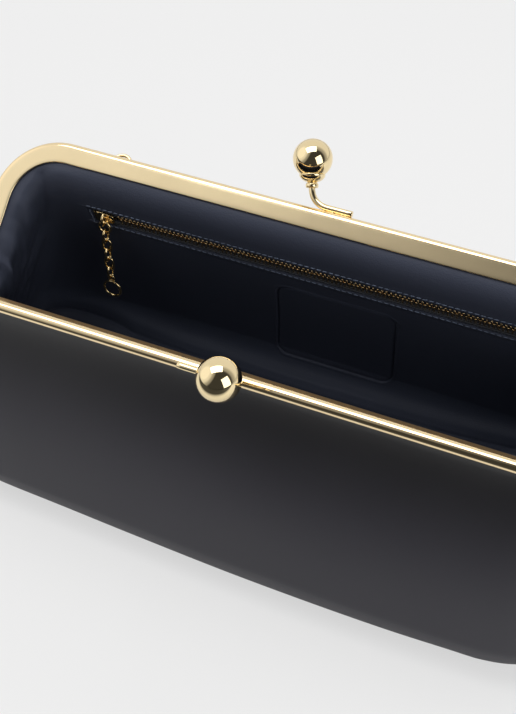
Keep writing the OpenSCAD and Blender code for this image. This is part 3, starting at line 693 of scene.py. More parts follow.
# the colour is darkened near the channel, where the surface's v is small: painted shade
dye_and_painted_shade = add_node(group, "HueSaturation", {
    "Color": mix_colour(group, patchy, given["Colour"], given["Tint"]),
    "Value": eased(group, down, 0.008, 0.065, given["Rim_Shade"], 1.0)})
rough = math_node(group, "ADD", given["Roughness"], wander(group, patchy, 0.14))
put_out(group, Colour=dye_and_painted_shade.outputs[0], Roughness=math_node(group, "ADD", rough, wander(group, pebble, 0.10)),
        Height=height)
leather_surface = group


def leather_finish(name, colour, tint, roughness, grain, crease, bump, specular=0.5, rim=1.0):
    """Dyed leather: two close colours, base roughness, grain cells per metre, strength of its relief, and how
    much of its colour is left near the channel, where it is darkened as painted shade."""
    return finish(name, leather_surface, {
        "Colour": (*colour, 1), "Tint": (*tint, 1), "Roughness": roughness, "Grain": grain, "Crease": crease,
        "Rim_Shade": rim}, bump, 0.0004, {"Specular IOR Level": specular})


# the black leather and the lining are darkened near the channel by their last number: painted shade
black_leather = leather_finish("black_leather", (0.0195, 0.0182, 0.0265), (0.0245, 0.0228, 0.0330), 0.38, 1500.0,
                               0.10, 0.12, 0.5, 0.20)
navy_leather = leather_finish("navy_lining", (0.040, 0.046, 0.068), (0.049, 0.056, 0.082), 0.47, 1100.0,
                              0.35, 0.30, 0.13, 0.15)
felt = leather_finish("grey_board", (0.42, 0.41, 0.39), (0.48, 0.47, 0.44), 0.9, 2500.0, 0.4, 0.5, 0.2)


def fold_with(piece):
    """Bakes the piece's placement into its mesh; it does not follow the frame halves."""
    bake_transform(piece)


def wall_piece(name, qs, vs, e0, e1, side, material, slot, node, relief=None, hand=0):
    """A sheet of the wall over a grid of q and v, from depth e0 to e1. relief moves both faces along the
    outward normal, in millimetres, as a function of q, v and the surface lengths. hand names a gusset's end
    of the purse: such a sheet ends flat at the fold in the middle plane."""
    q, v = np.meshgrid(qs, vs, indexing="ij")
    outer, inner = wall(q, v, e0, side), wall(q, v, e1, side)
    uv = arc_lengths(outer)
    if relief is not None:
        facing = normals_of(outer)
        away = np.sign((facing * ([hand, 0, 0] if hand else [0, side, 0])).sum(-1).mean()) or 1
        lift = relief(q, v, uv)[..., None] * facing * away
        outer, inner = outer + lift, inner + lift
    if hand:
        outer[-1, :, 1] = inner[-1, :, 1] = 0.0
    if side * (qs[-1] - qs[0]) < 0:
        outer, inner, uv = outer[::-1], inner[::-1], uv[::-1]
    piece = leather_sheet(name, outer, inner, uv)
    finish_piece(piece, material, slot, None, node)
    fold_with(piece)


seam_q = 1.2
side_qs = np.concatenate([np.linspace(-seam_q, -1, 25)[:-1], np.linspace(-1, 1, 161),
                          np.linspace(1, seam_q, 25)[1:]])
tall_vs = np.concatenate([np.linspace(-1, 0, 4)[:-1], np.linspace(0, 1, 81), np.linspace(1, 2, 33)[1:]])


def seam_dip(q, v, uv):
    """The outer leather rounds down into the seams at the panel's ends and at the base."""
    end = np.minimum(uv[..., 0], uv[..., 0].max() - uv[..., 0])
    low = uv[..., 1].max(1, keepdims=True) - uv[..., 1]
    return -1.1 * np.exp(-end / 1.3) - 0.5 * np.exp(-low / 1.3)


def worn(q, v):
    """How far the soft front stands out: more at its right end than at its left."""
    along = 2.3 / (1 + np.exp(-(q + 0.15) / 0.15)) - 1.0 * bell(q + 0.75, 0.3) + 1.3 * bell(q - 1.06, 0.12)
    rise, sink = np.clip((v - 0.2) / 0.7, 0, 1), np.clip((2 - v) / 0.6, 0, 1)
    return along * np.clip((1.2 - np.abs(q)) / 0.09, 0, 1) * np.sin(np.pi / 2 * rise) * np.sin(np.pi / 2 * sink)


for name, side in both_sides:
    def outside(q, v, uv, side=side):
        swell = (0.4 if side > 0 else 0.2) * np.clip(v, 0, 1) * np.clip(2 - v, 0, 1)
        waves = swell * ripple(uv[..., 0], uv[..., 1], 4 if side > 0 else 3, 7, 70, 190)
        return seam_dip(q, v, uv) + waves + (side < 0) * worn(q, v)
    wall_piece(name + "_leather", side_qs, tall_vs, 0, leather_t, side, black_leather, "black_leather",
               name + "_panel", outside)

# ---------------------------------------------------------------- Gussets
# Each gusset is one piece that folds inwards under the hinge. Here it is two halves that meet at the fold,
# with a hidden stay of the same leather behind the fold.
end_qs = np.linspace(seam_q, 2, 49)
gusset_halves = [(label, hand, place, side) for label, hand in both_hands for place, side in both_sides]


def seam_only(q, v, uv):
    """A gusset's leather rounds down into its seam."""
    return -1.1 * np.exp(-np.abs(uv[..., 0] - uv[0, 0, 0]) / 1.3)


for label, hand, place, side in gusset_halves:
    wall_piece(f"{label}_gusset_{place}", hand * end_qs, tall_vs, 0, leather_t, side, black_leather,
               "black_leather", f"{label}_gusset", seam_only, hand)

# ---------------------------------------------------------------- Base
# The base is a flat leather panel over a board, sewn to the walls where their roll ends.
def base_sheet(name, z0, z1, gap, material, slot, node):
    """A flat plate inside the loop at the end of the roll: rings from the rim to the middle."""
    q = np.linspace(-2, 2, 241)[:-1]
    fx, fy = loop(q, body_half - base_roll - gap, body_depth - base_roll - gap, -1, 4)
    bx, by = loop(-q, body_half - base_roll - gap, body_depth - base_roll - gap, 1, 4)
    edge = np.stack([np.concatenate([fx, bx]), np.concatenate([fy, by])], -1)
    share = np.concatenate([[0.003], np.linspace(0.1, 1, 12)])
    rings = np.array([[edge[:, 0] * k, edge[:, 1] * k, np.full(len(edge), z)]
                      for k, z in [(k, z0) for k in share] + [(k, z1) for k in share[::-1]]])
    piece = skin(name, np.moveaxis(rings, 1, -1))
    layer = piece.data.uv_layers.new(name="surface")
    corner = np.empty(len(piece.data.loops), np.int32)
    piece.data.loops.foreach_get("vertex_index", corner)
    co = np.empty(len(piece.data.vertices) * 3, np.float32)
    piece.data.vertices.foreach_get("co", co)
    layer.data.foreach_set("uv", co.reshape(-1, 3)[corner, :2].ravel())
    return finish_piece(piece, material, slot, "purse_body", node)


base_sheet("base_leather", 0, leather_t, 0.1, black_leather, "black_leather", "base_panel")
base_sheet("base_stiffener", 1.5, 3.0, 3.0, felt, "grey_board", "base_board")
base_sheet("floor_lining", lining_from, lining_to, 0.1, navy_leather, "navy_lining", "base_lining")

# ---------------------------------------------------------------- Lining
# Soft navy leather, sewn to the same plan as the walls and tucked into the channels with them. It lies in
# rolls round the foot, above a seam, and in soft folds at the ends, where the gussets fold under the hinges.
seam_at_q = [0, 0.3, 0.63, 0.75, 0.9, 1.07, 1.16, 1.25, 1.45, 2.0]
seam_at_v = [1.9, 1.88, 1.83, 1.77, 1.67, 1.40, 1.31, 1.27, 1.27, 1.28]
wall_fall, roll_fall = 95.0, 20.4


def fall(v):
    """Length down the wall in millimetres, from the channel to the widest line and on round the roll."""
    return wall_fall * np.minimum(v, 1) + roll_fall * np.maximum(v - 1, 0)


def lining_inwards(q, v, points):
    """How far the lining stands in from the wall: a roll above the foot seam, the seam's groove, a low swell
    of the floor beyond it, the valley in the corner between two swells, and creases where the gusset folds."""
    far = np.abs(q)
    foot = fall(v) - fall(np.interp(far, seam_at_q, seam_at_v))
    roll_in = 2.3 * bell(foot + 5.0, 4.2) - 1.1 * bell(foot, 0.75) + 0.7 * bell(foot - 3.5, 2.5)
    roll_in *= 1 - np.clip((v - 1.93) / 0.07, 0, 1)
    valley_q = np.interp(v, [0, 0.05, 0.22, 0.33, 0.46, 0.55, 0.62, 0.68, 0.78, 1.0],
                         [1.16, 1.17, 1.18, 1.21, 1.30, 1.42, 1.51, 1.59, 1.65, 1.70])
    start = np.clip(v / 0.10, 0, 1) ** 2 * (3 - 2 * np.clip(v / 0.10, 0, 1))
    fade = start * (1 - np.clip((v - 0.75) / 0.3, 0, 1))
    valley = fade * (-1.3 * bell(far - valley_q, 0.045) + 2.2 * bell(far - valley_q - 0.22, 0.15)
                     + 0.9 * bell(far - valley_q + 0.14, 0.10))
    gusset = np.clip((far - 1.2) / 0.3, 0, 1)
    x, y, z = np.moveaxis(points, -1, 0)
    near_fold = np.clip((far - 1.75) / 0.15, 0, 1)
    crease = near_fold * (2.2 * bell(np.abs(y) - 6.5 - 0.06 * (76 - z), 1.5) * bell(z - 75, 6.0)
                          + 2.6 * bell(np.abs(y) - 5.0, 3.5) * bell(z - 64, 7.0)
                          - 1.2 * bell(np.abs(y) - 2.0, 1.6) * bell(z - 70, 9.0))
    soft = 0.10 * ripple(x, z, 11, 9, 40, 110) * start
    wrinkle = gusset * start * (0.42 * ripple(2.2 * y, z, 17, 9, 14, 40) + 0.2 * ripple(2 * y, z, 19, 9, 6, 14))
    return roll_in + valley + crease + soft + wrinkle


def sheet_with_holes(name, outer, inner, uv, keep=None):
    """A thick sheet between two grids of points, with the cells where keep is false left out. Every free edge
    of what is left is closed by a quad between the two faces."""
    m, n = outer.shape[:2]
    keep = np.ones((m - 1, n - 1), bool) if keep is None else keep
    number = np.arange(m * n).reshape(m, n)
    i, j = np.nonzero(keep)
    quads = np.stack([number[i, j], number[i + 1, j], number[i + 1, j + 1], number[i, j + 1]], -1)
    padded = np.pad(keep, 1)
    rims = []
    for a, b, near, far in (((0, 0), (0, 1), (-1, 0), 0), ((1, 1), (1, 0), (1, 0), 1),
                            ((1, 0), (0, 0), (0, -1), 2), ((0, 1), (1, 1), (0, 1), 3)):
        alone = keep & ~padded[1 + near[0]:m + near[0], 1 + near[1]:n + near[1]]
        i, j = np.nonzero(alone)
        p, r = number[i + a[0], j + a[1]], number[i + b[0], j + b[1]]
        rims.append(np.stack([p, r, r + m * n, p + m * n], -1))
    faces = np.concatenate([quads, quads[:, ::-1] + m * n] + rims)
    points = np.concatenate([outer.reshape(-1, 3), inner.reshape(-1, 3)])
    spread = np.concatenate([uv.reshape(-1, 2), uv.reshape(-1, 2) + [0, 1000.0]])
    used, compact = np.unique(faces, return_inverse=True)
    faces = compact.reshape(faces.shape)
    corners = spread[used][faces.ravel()]
    piece = build(name, points[used], [faces], corners)
    # the cut edges are crisp, so that sheets that meet there are shaded as one
    mesh = piece.data
    cut = np.sort(np.concatenate([np.concatenate([k[:, [0, 1]], k[:, [2, 3]]]) for k in rims]), 1)
    cut = np.searchsorted(used, cut)
    ends = np.empty(2 * len(mesh.edges), np.int32)
    mesh.edges.foreach_get("vertices", ends)
    ends = np.sort(ends.reshape(-1, 2).astype(np.int64), 1)
    crisp = np.isin(ends[:, 0] * len(used) + ends[:, 1], cut[:, 0] * len(used) + cut[:, 1])
    mesh.edges.foreach_set("use_edge_sharp", crisp)
    return piece


def lining_piece(name, q, v, side, node, keep=None, more=None, flat_end=False):
    """A lining sheet over grids of q and v. Both faces move inwards by lining_inwards, and by more."""
    outer, inner = wall(q, v, lining_from, side), wall(q, v, lining_to, side)
    uv = arc_lengths(outer)
    inwards = inner - outer
    thick = np.linalg.norm(inwards, axis=-1, keepdims=True)
    inwards = inwards / np.maximum(thick, 1e-6)
    depth = lining_inwards(q, v, outer)
    if more is not None:
        depth = depth + more(inner)
    outer, inner = outer + depth[..., None] * inwards, inner + depth[..., None] * inwards
    if flat_end:
        outer[-1, :, 1] = inner[-1, :, 1] = 0.0
    if side * (q[-1, 0] - q[0, 0]) < 0:
        outer, inner, uv = outer[::-1], inner[::-1], uv[::-1]
        keep = None if keep is None else keep[::-1]
    piece = sheet_with_holes(name, outer, inner, uv, keep)
    finish_piece(piece, navy_leather, "navy_lining", None, node)
    fold_with(piece)


foot_vs = np.concatenate([np.linspace(-1, 0, 4)[:-1], np.linspace(0, 0.92, 70), np.linspace(0.93, 2, 70)])
q, v = np.meshgrid(side_qs, foot_vs, indexing="ij")
lining_piece("front_lining_leather", q, v, -1, "front_lining")
for label, hand, place, side in gusset_halves:
    q, v = np.meshgrid(hand * np.linspace(seam_q, 2, 90), foot_vs, indexing="ij")
    lining_piece(f"{label}_gusset_lining_{place}", q, v, side, f"{label}_gusset_lining", flat_end=True)

# The back lining has a window for the zip, its edges turned under, and below it a blind embossed border:
# a rounded rectangle pressed into the leather, bare inside.
zip_half, zip_z, zip_y, zip_tilt = 102.0, 90.0, 41.6055, np.radians(12.68)
window_half, window_up, window_low = 107.0, 4.2, 3.85
border_mid, border_half, border_corner = np.array([9.8, 74.9]), np.array([28.0, 23.2]), 5.5
left_half = 29.2
# millimetres for each unit of q along the bar, and of v down the wall near the zip
q_length, v_length = 117.6, 118.0


def v_at_up(q, up, e):
    """The v at which the wall, at depth e, is the given height above the zip's middle, in 12 steps of a
    fixed slope."""
    v = 0.38 + 0 * q
    for _ in range(12):
        p = wall(q, v, e, 1)
        height = -(p[..., 1] - zip_y) * np.sin(zip_tilt) + (p[..., 2] - zip_z) * np.cos(zip_tilt)
        v = v + (height - up) / v_length
    return v


def embossed(points, v):
    """The border's groove with a raised lip outside it, and the panel inside pressed a little, by distance to
    a rounded rectangle. It is measured along x and down the wall, and its ends lean, as stamped by hand."""
    down, x = fall(v) - border_mid[1], points[..., 0] - border_mid[0]
    x = np.where(x < 0, x * border_half[0] / left_half + 0.137 * down, x + 0.085 * down)
    corner = np.abs(np.stack([x, down], -1)) - border_half + border_corner
    away = np.linalg.norm(np.maximum(corner, 0), axis=-1) + np.minimum(corner.max(-1), 0) - border_corner
    lip = 0.40 * bell(away - 0.85, 0.42)
    return lip - 0.62 * bell(away, 0.50) - 0.15 / (1 + np.exp(np.clip(away / 0.25, -30, 30)))


def turned_edge(points):
    """The doubled leather round the window: a low step that rounds over into the opening, and a shallow
    groove where the stitches pull it down, nearer to the lower edge than to the upper one."""
    x = points[..., 0]
    up = -(points[..., 1] - zip_y) * np.sin(zip_tilt) + (points[..., 2] - zip_z) * np.cos(zip_tilt)
    across, along_x = np.maximum(up - window_up, -up - window_low), np.abs(x) - window_half
    away = np.where((across > 0) & (along_x > 0), np.hypot(across, along_x), np.maximum(across, along_x))
    away = np.maximum(away, 0)
    step = 0.42 / (1 + np.exp(np.clip((away - 2.3) / 0.16, -30, 30)))
    return step - 0.55 * np.exp(-away / 0.22) - 0.20 * bell(away - np.where(up > 0, 1.75, 0.85), 0.30)


near = np.array([0, 0.1, 0.22, 0.38, 0.58, 0.8, 1.0, 1.25, 1.5, 1.75, 2.0, 2.2, 2.4, 2.65, 3.0])
down_rows = np.concatenate([np.arange(44.0, 50.0, 1.4), np.arange(50.0, 58.4, 0.34), np.arange(58.6, 90.6, 1.7),
                            np.arange(91.0, 99.2, 0.34)])
fixed_vs = np.where(down_rows < wall_fall, down_rows / wall_fall, 1 + (down_rows - wall_fall) / roll_fall)
edge_q = window_half / q_length
x_dense = np.concatenate([np.arange(-25.2, -13.6, 0.36), np.arange(31.0, 41.5, 0.36)])
x_loose = np.arange(-116, 117, 2.4)
x_loose = x_loose[(np.abs(x_loose + 19.4) > 6.4) & (np.abs(x_loose - 36.2) > 5.8)
                  & (np.abs(np.abs(x_loose) - window_half) > 3.2)]
x_edge = np.concatenate([s * (window_half + np.concatenate([-near[::-3], near[1:]])) for s in (-1, 1)])
middle_qs = np.unique(np.round(np.concatenate([x_dense, x_loose, x_edge]) / q_length, 6))
middle_qs = middle_qs[np.abs(middle_qs) < 0.999]
qs = np.concatenate([np.linspace(-seam_q, -1, 22), middle_qs, np.linspace(1, seam_q, 22)])
v_high, v_low = (v_at_up(qs, up, lining_to)[:, None] for up in (window_up, -window_low))
top_rows = np.concatenate([np.linspace(-1, 0, 4)[:-1][None] + 0 * v_high,
                           np.linspace(0, 1, 22)[None, :-1] * (v_high - 3.0 / v_length)], 1)
v = np.concatenate([
    top_rows, v_high - near[::-1] / v_length, v_high + (v_low - v_high) * np.array([[0.33, 0.67]]),
    v_low + near / v_length, fixed_vs[None] + 0 * v_high,
    fixed_vs[-1] + (2 - fixed_vs[-1]) * np.linspace(0, 1, 44)[None, 1:] + 0 * v_high], 1)
q = qs[:, None] + 0 * v
first_row = top_rows.shape[1] + len(near) - 1
inside_q = np.abs(qs[:-1] + qs[1:]) / 2 < edge_q
keep = np.ones((len(qs) - 1, v.shape[1] - 1), bool)
keep[np.ix_(inside_q, np.arange(first_row, first_row + 3))] = False
lining_piece("back_lining_leather", q, v, 1, "back_lining", keep,
             lambda points: embossed(points, v) + turned_edge(points))

# ---------------------------------------------------------------- Stitches
# One row of lockstitch in a pale blue-grey thread runs round the window, through the turned edge.
def fibrous(name, scale, detail, dark, pale, roughness, sheen=0.0):
    """Thread or paper: a fine noise between two close colours."""
    material = bpy.data.materials.new(name)
    tree = new_tree(material)
    lint = noise_node(tree, add_node(tree, "TexCoord").outputs["Object"], scale, detail)
    shader = add_node(tree, "BsdfPrincipled", {"Base Color": mix_colour(tree, lint, (*dark, 1), (*pale, 1)),
                                               "Roughness": roughness, "Sheen Weight": sheen})
    add_node(tree, "OutputMaterial", {"Surface": shader.outputs[0]})
    return material


thread = fibrous("thread", 2500.0, 2.0, (0.05, 0.075, 0.13), (0.16, 0.20, 0.29), 0.55, 0.3)


def capsules(centres, ways, lifts, length, radius):
    """Rounded pegs, one for each centre: a half-ellipse profile of 9 rings turned about its way."""
    t = np.linspace(-1, 1, 9)
    along, r = length / 2 * t, radius * np.sqrt(np.maximum(1 - t ** 4, 0.0004))
    ring = ring_ways(lifts, np.cross(ways, lifts), 10)
    return centres[:, None, None] + along[None, :, None, None] * ways[:, None, None] \
        + r[None, :, None, None] * ring[:, None]


def window_row(xs, up):
    """Places on the lining's face at x and up round the window, on the doubled edge."""
    q_row = xs / q_length
    p, behind = (wall(q_row, v_at_up(q_row, up, e), e, 1) for e in (lining_to, lining_from))
    into = p - behind
    into /= np.linalg.norm(into, axis=-1, keepdims=True)
    return p + 0.24 * into, into


places, lifts, ways = [], [], []
for up in (-window_low - 0.85, window_up + 1.75):
    xs = np.arange(-window_half - 1.2, window_half + 1.3, 2.85)
    p, into = window_row(xs, up + 0 * xs)
    slant = np.stack([np.cos(0.10 + 0 * xs), 0 * xs, np.sign(up) * np.sin(0.10 + 0 * xs)], -1)
    places.append(p), lifts.append(into), ways.append(slant)
for x in (-window_half - 1.25, window_half + 1.25):
    ups = np.arange(-3.0, 3.1, 2.0)
    p, into = window_row(x + 0 * ups, ups)
    places.append(p), lifts.append(into)
    ways.append(np.stack([0 * ups, -np.sin(zip_tilt) + 0 * ups, np.cos(zip_tilt) + 0 * ups], -1))
places, lifts, ways = (np.concatenate(k) for k in (places, lifts, ways))
ways /= np.linalg.norm(ways, axis=-1, keepdims=True)
lifts -= ways * (lifts * ways).sum(-1, keepdims=True)
lifts /= np.linalg.norm(lifts, axis=-1, keepdims=True)
pegs = capsules(places, ways, lifts, 2.2, 0.24)
stitches = skin("window_stitches", *pegs)
finish_piece(stitches, thread, "navy_lining", "back_frame_half")

# ---------------------------------------------------------------- Zip
# A metal zip: woven navy tapes with a corded edge, on which cast teeth of antique brass are clamped, and
# small stops at both ends. The tapes are sewn behind the window.
def zip_points(points):
    """Carries points (along, into the purse, up the lining) of the flat zip drawing to the back wall."""
    x, inward, up = np.moveaxis(np.asarray(points, float), -1, 0)
    y = -inward * np.cos(zip_tilt) - up * np.sin(zip_tilt)
    z = -inward * np.sin(zip_tilt) + up * np.cos(zip_tilt)
    return np.stack([x, zip_y + y, zip_z + z], -1)


tape_cloth = bpy.data.materials.new("zip_tape")
tree = new_tree(tape_cloth)
ribs = add_node(tree, "TexWave", {
    "Scale": 420.0, "Distortion": 0.4, "Vector": add_node(tree, "TexCoord").outputs["UV"]},
    wave_type="BANDS", bands_direction="DIAGONAL").outputs["Fac"]
relief = add_node(tree, "Bump", {"Strength": 0.6, "Distance": 0.0002, "Height": ribs})
woven = mix_colour(tree, ribs, (0.004, 0.006, 0.012, 1), (0.013, 0.018, 0.032, 1))
shader = add_node(tree, "BsdfPrincipled", {"Base Color": woven, "Roughness": 0.8, "Sheen Weight": 0.25,
                                           "Normal": relief.outputs["Normal"]})
add_node(tree, "OutputMaterial", {"Surface": shader.outputs[0]})
antique_brass = plated("dark_brass", (0.84, 0.62, 0.34), 0.19, 0.08, 0.03)
zip_gold = plated("zip_gold", (0.88, 0.67, 0.35), 0.20, 0.06, 0.03)

along_tape = np.linspace(-zip_half - 4, zip_half + 4, 180)
edge_a = np.radians(np.linspace(-200, 20, 12))
for name, up in (("upper", 1), ("lower", -1)):
    outline = np.concatenate([
        np.stack([0.45 * np.cos(edge_a), 1.75 + 0.45 * np.sin(edge_a)], -1)[::-1],
        [[-0.2, 2.3], [-0.2, 3.6], [-0.2, 5.4], [-0.15, 7.15], [0.0, 7.2], [0.15, 7.15], [0.2, 5.4],
         [0.2, 3.6], [0.2, 2.3]]])
    wave = 0.03 * np.sin(along_tape / 3.1) + 0.03 * np.sin(along_tape / 7.7 + 1)
    grid = np.stack(np.broadcast_arrays(along_tape[:, None], outline[None, :, 0] + wave[:, None],
                                        up * outline[None, :, 1]), -1)
    spread = np.stack(np.broadcast_arrays(along_tape[:, None], outline[None, :, 1]), -1)
    if up > 0:
        grid, spread = grid[:, ::-1], spread[:, ::-1]
    tape = skin(f"zip_{name}_tape", zip_points(grid), caps=False, uv=spread)
    finish_piece(tape, tape_cloth, "zip_tape", "back_frame_half", f"zip_tape_{name}")

tooth_pitch, tooth_count, first_tooth = 2.0, 96, -92.0
tooth_up = np.array([-0.52, -0.46, -0.28, 0.1, 0.55, 0.95, 1.25, 1.7, 2.3, 2.52, 2.6])
tooth_x = np.array([0.10, 0.26, 0.40, 0.44, 0.40, 0.36, 0.40, 0.45, 0.45, 0.38, 0.15])
tooth_in = np.array([0.12, 0.40, 0.58, 0.66, 0.62, 0.58, 0.78, 0.85, 0.85, 0.76, 0.30])


def squared(ways, power):
    """Brings the ways of a circle towards a square's, as a superellipse does."""
    return np.sign(ways) * np.abs(ways) ** power


round_x, round_in = squared(unit_ways(16), 0.55).T
for name, up in (("upper", 1), ("lower", -1)):
    first = first_tooth + (0 if up > 0 else tooth_pitch / 2)
    centres = first + tooth_pitch * np.arange(tooth_count)
    one = np.stack([tooth_x[:, None] * round_x, tooth_in[:, None] * round_in,
                    up * np.broadcast_to(tooth_up[:, None], (len(tooth_up), len(round_x)))], -1)
    if up > 0:
        one = one[:, ::-1]
    many = [zip_points(one + [x, 0.0, 0.0]) for x in centres]
    row = skin(f"zip_{name}_teeth", *many)
    finish_piece(row, antique_brass, "dark_brass", "back_frame_half", f"zip_teeth_{name}")


def round_rims(low, high, edge, steps):
    """Levels from low to high, and how far the outline stands in at each, with both rims rounded by edge."""
    t = np.radians(np.linspace(-90, 90, steps))
    level = np.where(t < 0, low + edge * (1 + np.sin(t)), high - edge * (1 - np.sin(t)))
    return level[:, None], edge * (1 - np.cos(t))[:, None]


def rounded_block(low, high, edge, power=0.35):
    """A block between two corners with its edges rounded by edge, as rings of superellipses."""
    low, high = np.asarray(low, float), np.asarray(high, float)
    half, mid = (high - low) / 2, (high + low) / 2
    across, along = squared(unit_ways(40), power).T
    z, inset = round_rims(-half[2], half[2], edge, 11)
    x = (half[0] - inset) * across
    return np.stack([x, (half[1] - inset) * along, z + 0 * x], -1) + mid


stops = [rounded_block((zip_half - 1, -1.1, -2.3), (zip_half + 1.5, 1.1, 2.3), 0.3)] + [
    rounded_block((-zip_half - 3.4, -1.1, s * 1.3 - 1.0), (-zip_half - 1.9, 1.1, s * 1.3 + 1.0), 0.3)
    for s in (-1, 1)]
stop_piece = skin("zip_stops", *(zip_points(g[:, ::-1]) for g in stops))
finish_piece(stop_piece, antique_brass, "dark_brass", "back_frame_half", "zip_end_stops")

# ---------------------------------------------------------------- Zip slider
# A cast body, polished and plated: two plates over and under the teeth, with side rails, a divider at the
# wide end and a round bridge on top that carries the pull ring.
slider_x, plate_t, plate_gap, bridge_r, link_wire = -zip_half + 3.2, 0.8, 0.95, 3.2, 1.2
slider_len, slider_w = 9.4, 7.0


def slider_plate(low, high):
    """A rounded plate, wide at the divider's end and narrowing to the other, from low to high."""
    cosine, sine = unit_ways(64).T
    x = slider_len / 2 * squared(cosine, 0.5)
    y = slider_w / 2 * (1 - 0.10 * (1 + np.tanh(x / 2.2))) * squared(sine, 0.45)
    z, inset = round_rims(low, high, 0.3, 9)
    rings = np.stack([(1 - inset / (slider_len / 2)) * x, z + 0 * x, (1 - inset / (slider_w / 2)) * y], -1)
    return np.concatenate([rings[:1] * [0.02, 1, 0.02], rings, rings[-1:] * [0.02, 1, 0.02]])


body = [slider_plate(plate_gap, plate_gap + plate_t), slider_plate(-plate_gap - plate_t, -plate_gap)]
body = [g[:, ::-1] for g in body]
for face in (-1, 1):
    for s in (-1, 1):
        rail = rounded_block((-4.2, min(face * 0.4, face * 1.5), s * 2.98 - 0.3),
                             (4.0, max(face * 0.4, face * 1.5), s * 2.98 + 0.3), 0.14)
        rail[..., 2] -= s * 0.34 * (1 + np.tanh(rail[..., 0] / 2.2))
        body.append(rail)
body.append(rounded_block((-4.1, -1.65, -0.19), (-1.7, 1.65, 0.19), 0.1))
slider = skin("zip_slider_body", *(zip_points(g + [slider_x, 0, 0]) for g in body))
finish_piece(slider, zip_gold, "dark_brass", "slider", "zip_slider")
t = np.linspace(0, np.pi, 33)
bridge = np.stack([slider_x + 0 * t, plate_gap + plate_t - 0.12 + bridge_r * np.sin(t),
                   bridge_r * np.cos(t)], -1)
bridge_piece = skin("zip_slider_bridge", tube(zip_points(bridge), link_wire / 2, 22))
finish_piece(bridge_piece, zip_gold, "dark_brass", "slider")

# ---------------------------------------------------------------- Pull chain
# The pull hangs from the bridge: a round ring, five small oval links, each turned a quarter from the one
# above, and a larger ring with an eyelet at the end. All are bent from round brass wire.
hang_y, hang_z, pull_ring_r, link_in, link_w = 38.8058, 88.093, 2.9, 5.6, 3.0
slack = 0.05


def hoop(path, radius, count=18):
    """A round tube along a closed path of points that lie in one plane."""
    way = np.roll(path, -1, 0) - np.roll(path, 1, 0)
    way /= np.linalg.norm(way, axis=1, keepdims=True)
    flat = np.cross(path[0] - path[len(path) // 3], path[0] - path[2 * len(path) // 3])
    flat /= np.linalg.norm(flat)
    return path[:, None] + radius * ring_ways(np.cross(way, flat), flat[None], count)


def circle_path(r, steps=56):
    """A circle in the x-z plane."""
    return np.insert(r * unit_ways(steps), 1, 0.0, axis=1)


ring_piece = skin("pull_ring_wire", hoop(circle_path(pull_ring_r) + [slider_x, hang_y, hang_z - pull_ring_r],
                                         link_wire / 2), along=True)
finish_piece(ring_piece, zip_gold, "dark_brass", "ring", "pull_ring")
bend = (link_w + link_wire) / 2
reach = (link_in + link_wire) / 2 - bend
a = np.linspace(0, np.pi, 22)
oval = np.concatenate([np.stack([bend * np.cos(a), 0 * a, reach + bend * np.sin(a)], -1),
                       np.stack([-bend * np.cos(a), 0 * a, -reach - bend * np.sin(a)], -1)])
drop = 2 * pull_ring_r + np.arange(6) * (link_in - slack)
for n in range(1, 6):
    middle = drop[n] - (link_in + link_wire) / 2
    shape = oval if n % 2 == 0 else oval[:, [1, 0, 2]]
    wire = hoop(shape + [slider_x, hang_y, hang_z - middle], link_wire / 2)
    link_piece = skin(f"pull_link_{n}", wire, along=True)
    finish_piece(link_piece, zip_gold, "dark_brass", f"link_{n}", f"chain_link_{n}")
eyelet_r, end_ring_d = 1.5, 10.0
eyelet_z = 1.1 + slack - eyelet_r
end_r = (end_ring_d - link_wire) / 2
end_parts = [hoop(circle_path(end_r, 72) + [0, 0, eyelet_z - eyelet_r - end_r - 0.8], link_wire / 2, 20),
             hoop(circle_path(eyelet_r, 40) + [0, 0, eyelet_z], 0.5, 16)]
end_piece = skin("pull_end_ring_wire", *(g + [slider_x, hang_y, hang_z - drop[5]] for g in end_parts),
                 along=True)
finish_piece(end_piece, zip_gold, "dark_brass", "end_ring", "pull_end_ring")

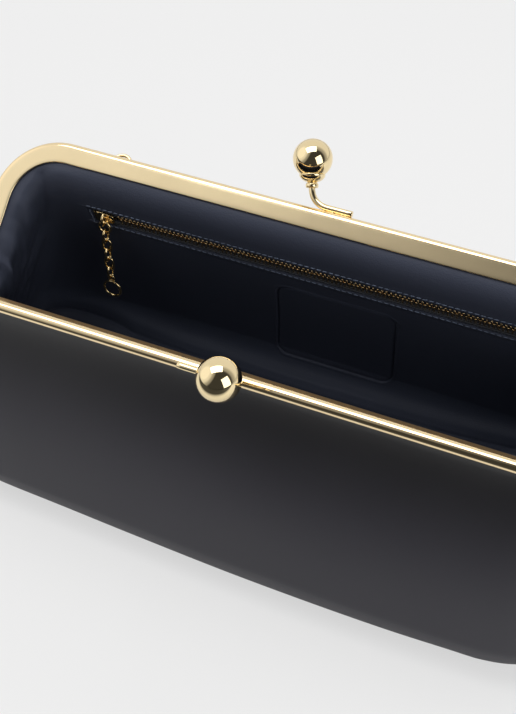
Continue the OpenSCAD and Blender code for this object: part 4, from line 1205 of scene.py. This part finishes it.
# ---------------------------------------------------------------- Interlinings, pocket bag and paper cords
# Between leather and lining: thin bonded-felt stiffeners that stop below the folding part of the wall, the
# zip pocket's cloth bag, and the twisted paper cords that wedge the layers into the channels.
low_rows, felt_from, felt_to, bag_depths = np.linspace(0.7, 1.85, 30), 1.5, 2.5, (2.75, 3.55)
for name, side in both_sides:
    wall_piece(f"{name}_stiffener", np.linspace(-1.1, 1.1, 80), low_rows, felt_from, felt_to, side, felt,
               "grey_board", f"{name}_interlining",
               (lambda q, v, uv: np.minimum(worn(q, v), 0) - 0.05) if side < 0 else None)
for label, hand, place, side in gusset_halves:
    q, v = np.meshgrid(hand * np.linspace(1.32, 2, 24), low_rows, indexing="ij")
    outer, inner = wall(q, v, felt_from, side), wall(q, v, felt_to, side)
    outer[-1, :, 1] = inner[-1, :, 1] = 0.0
    uv = arc_lengths(outer)
    if hand * side < 0:
        outer, inner, uv = outer[::-1], inner[::-1], uv[::-1]
    piece = sheet_with_holes(f"{label}_end_stiffener_{place}", outer, inner, uv)
    finish_piece(piece, felt, "grey_board", None, f"{label}_end_interlining")
    fold_with(piece)
wall_piece("zip_pocket_bag", np.linspace(-0.875, 0.875, 90), np.linspace(0.5, 0.9, 40), *bag_depths, 1,
           tape_cloth, "pocket_cloth", "pocket_bag")

paper = fibrous("paper_cord", 1200.0, 4.0, (0.32, 0.25, 0.16), (0.52, 0.43, 0.30), 0.85)
cord_r, cord_end = 1.35, 4.6 / whole_run
cord_s = np.linspace(cord_end, 1 - cord_end, 360)
for name, side in both_sides:
    path = along_frame(edge_r + cord_r, mid_off, cord_s)
    a = np.linspace(0, 2 * np.pi, 18, endpoint=False)
    radius = cord_r - 0.12 * (1 - np.cos(3 * a[None] + cord_s[:, None] * whole_run / 1.2)) / 2
    grid = tube(path, 1.0, 18)
    grid = path[:, None] + radius[..., None] * (grid - path[:, None])
    cord = skin(f"{name}_cord", swing(grid, side))
    finish_piece(cord, paper, "paper_cord", f"{name}_frame_half", f"{name}_packing_cord")

# The stay: a strip of the same black leather inside each gusset's fold, which shows when the purse shuts.
for label, hand in both_hands:
    z = np.linspace(40, 70.5, 24)
    y = np.linspace(-12, 12, 25)
    yy, zz = np.meshgrid(y, z, indexing="ij")
    probe_v = np.linspace(0.0, 1.0, 200)
    column = wall(hand * (2.0 + 0 * probe_v), probe_v, 2.0, 1)
    x_mid = np.interp(-zz, -column[:, 2], column[:, 0])
    grids = [np.stack([x_mid - hand * d - hand * 0.02 * yy ** 2 * 0.6, yy, zz], -1) for d in (0.0, 0.8)]
    uv = arc_lengths(grids[0])
    order = slice(None) if hand > 0 else slice(None, None, -1)
    stay = sheet_with_holes(f"{label}_gusset_stay", grids[0][order], grids[1][order], uv[order])
    finish_piece(stay, black_leather, "black_leather", "purse_body")
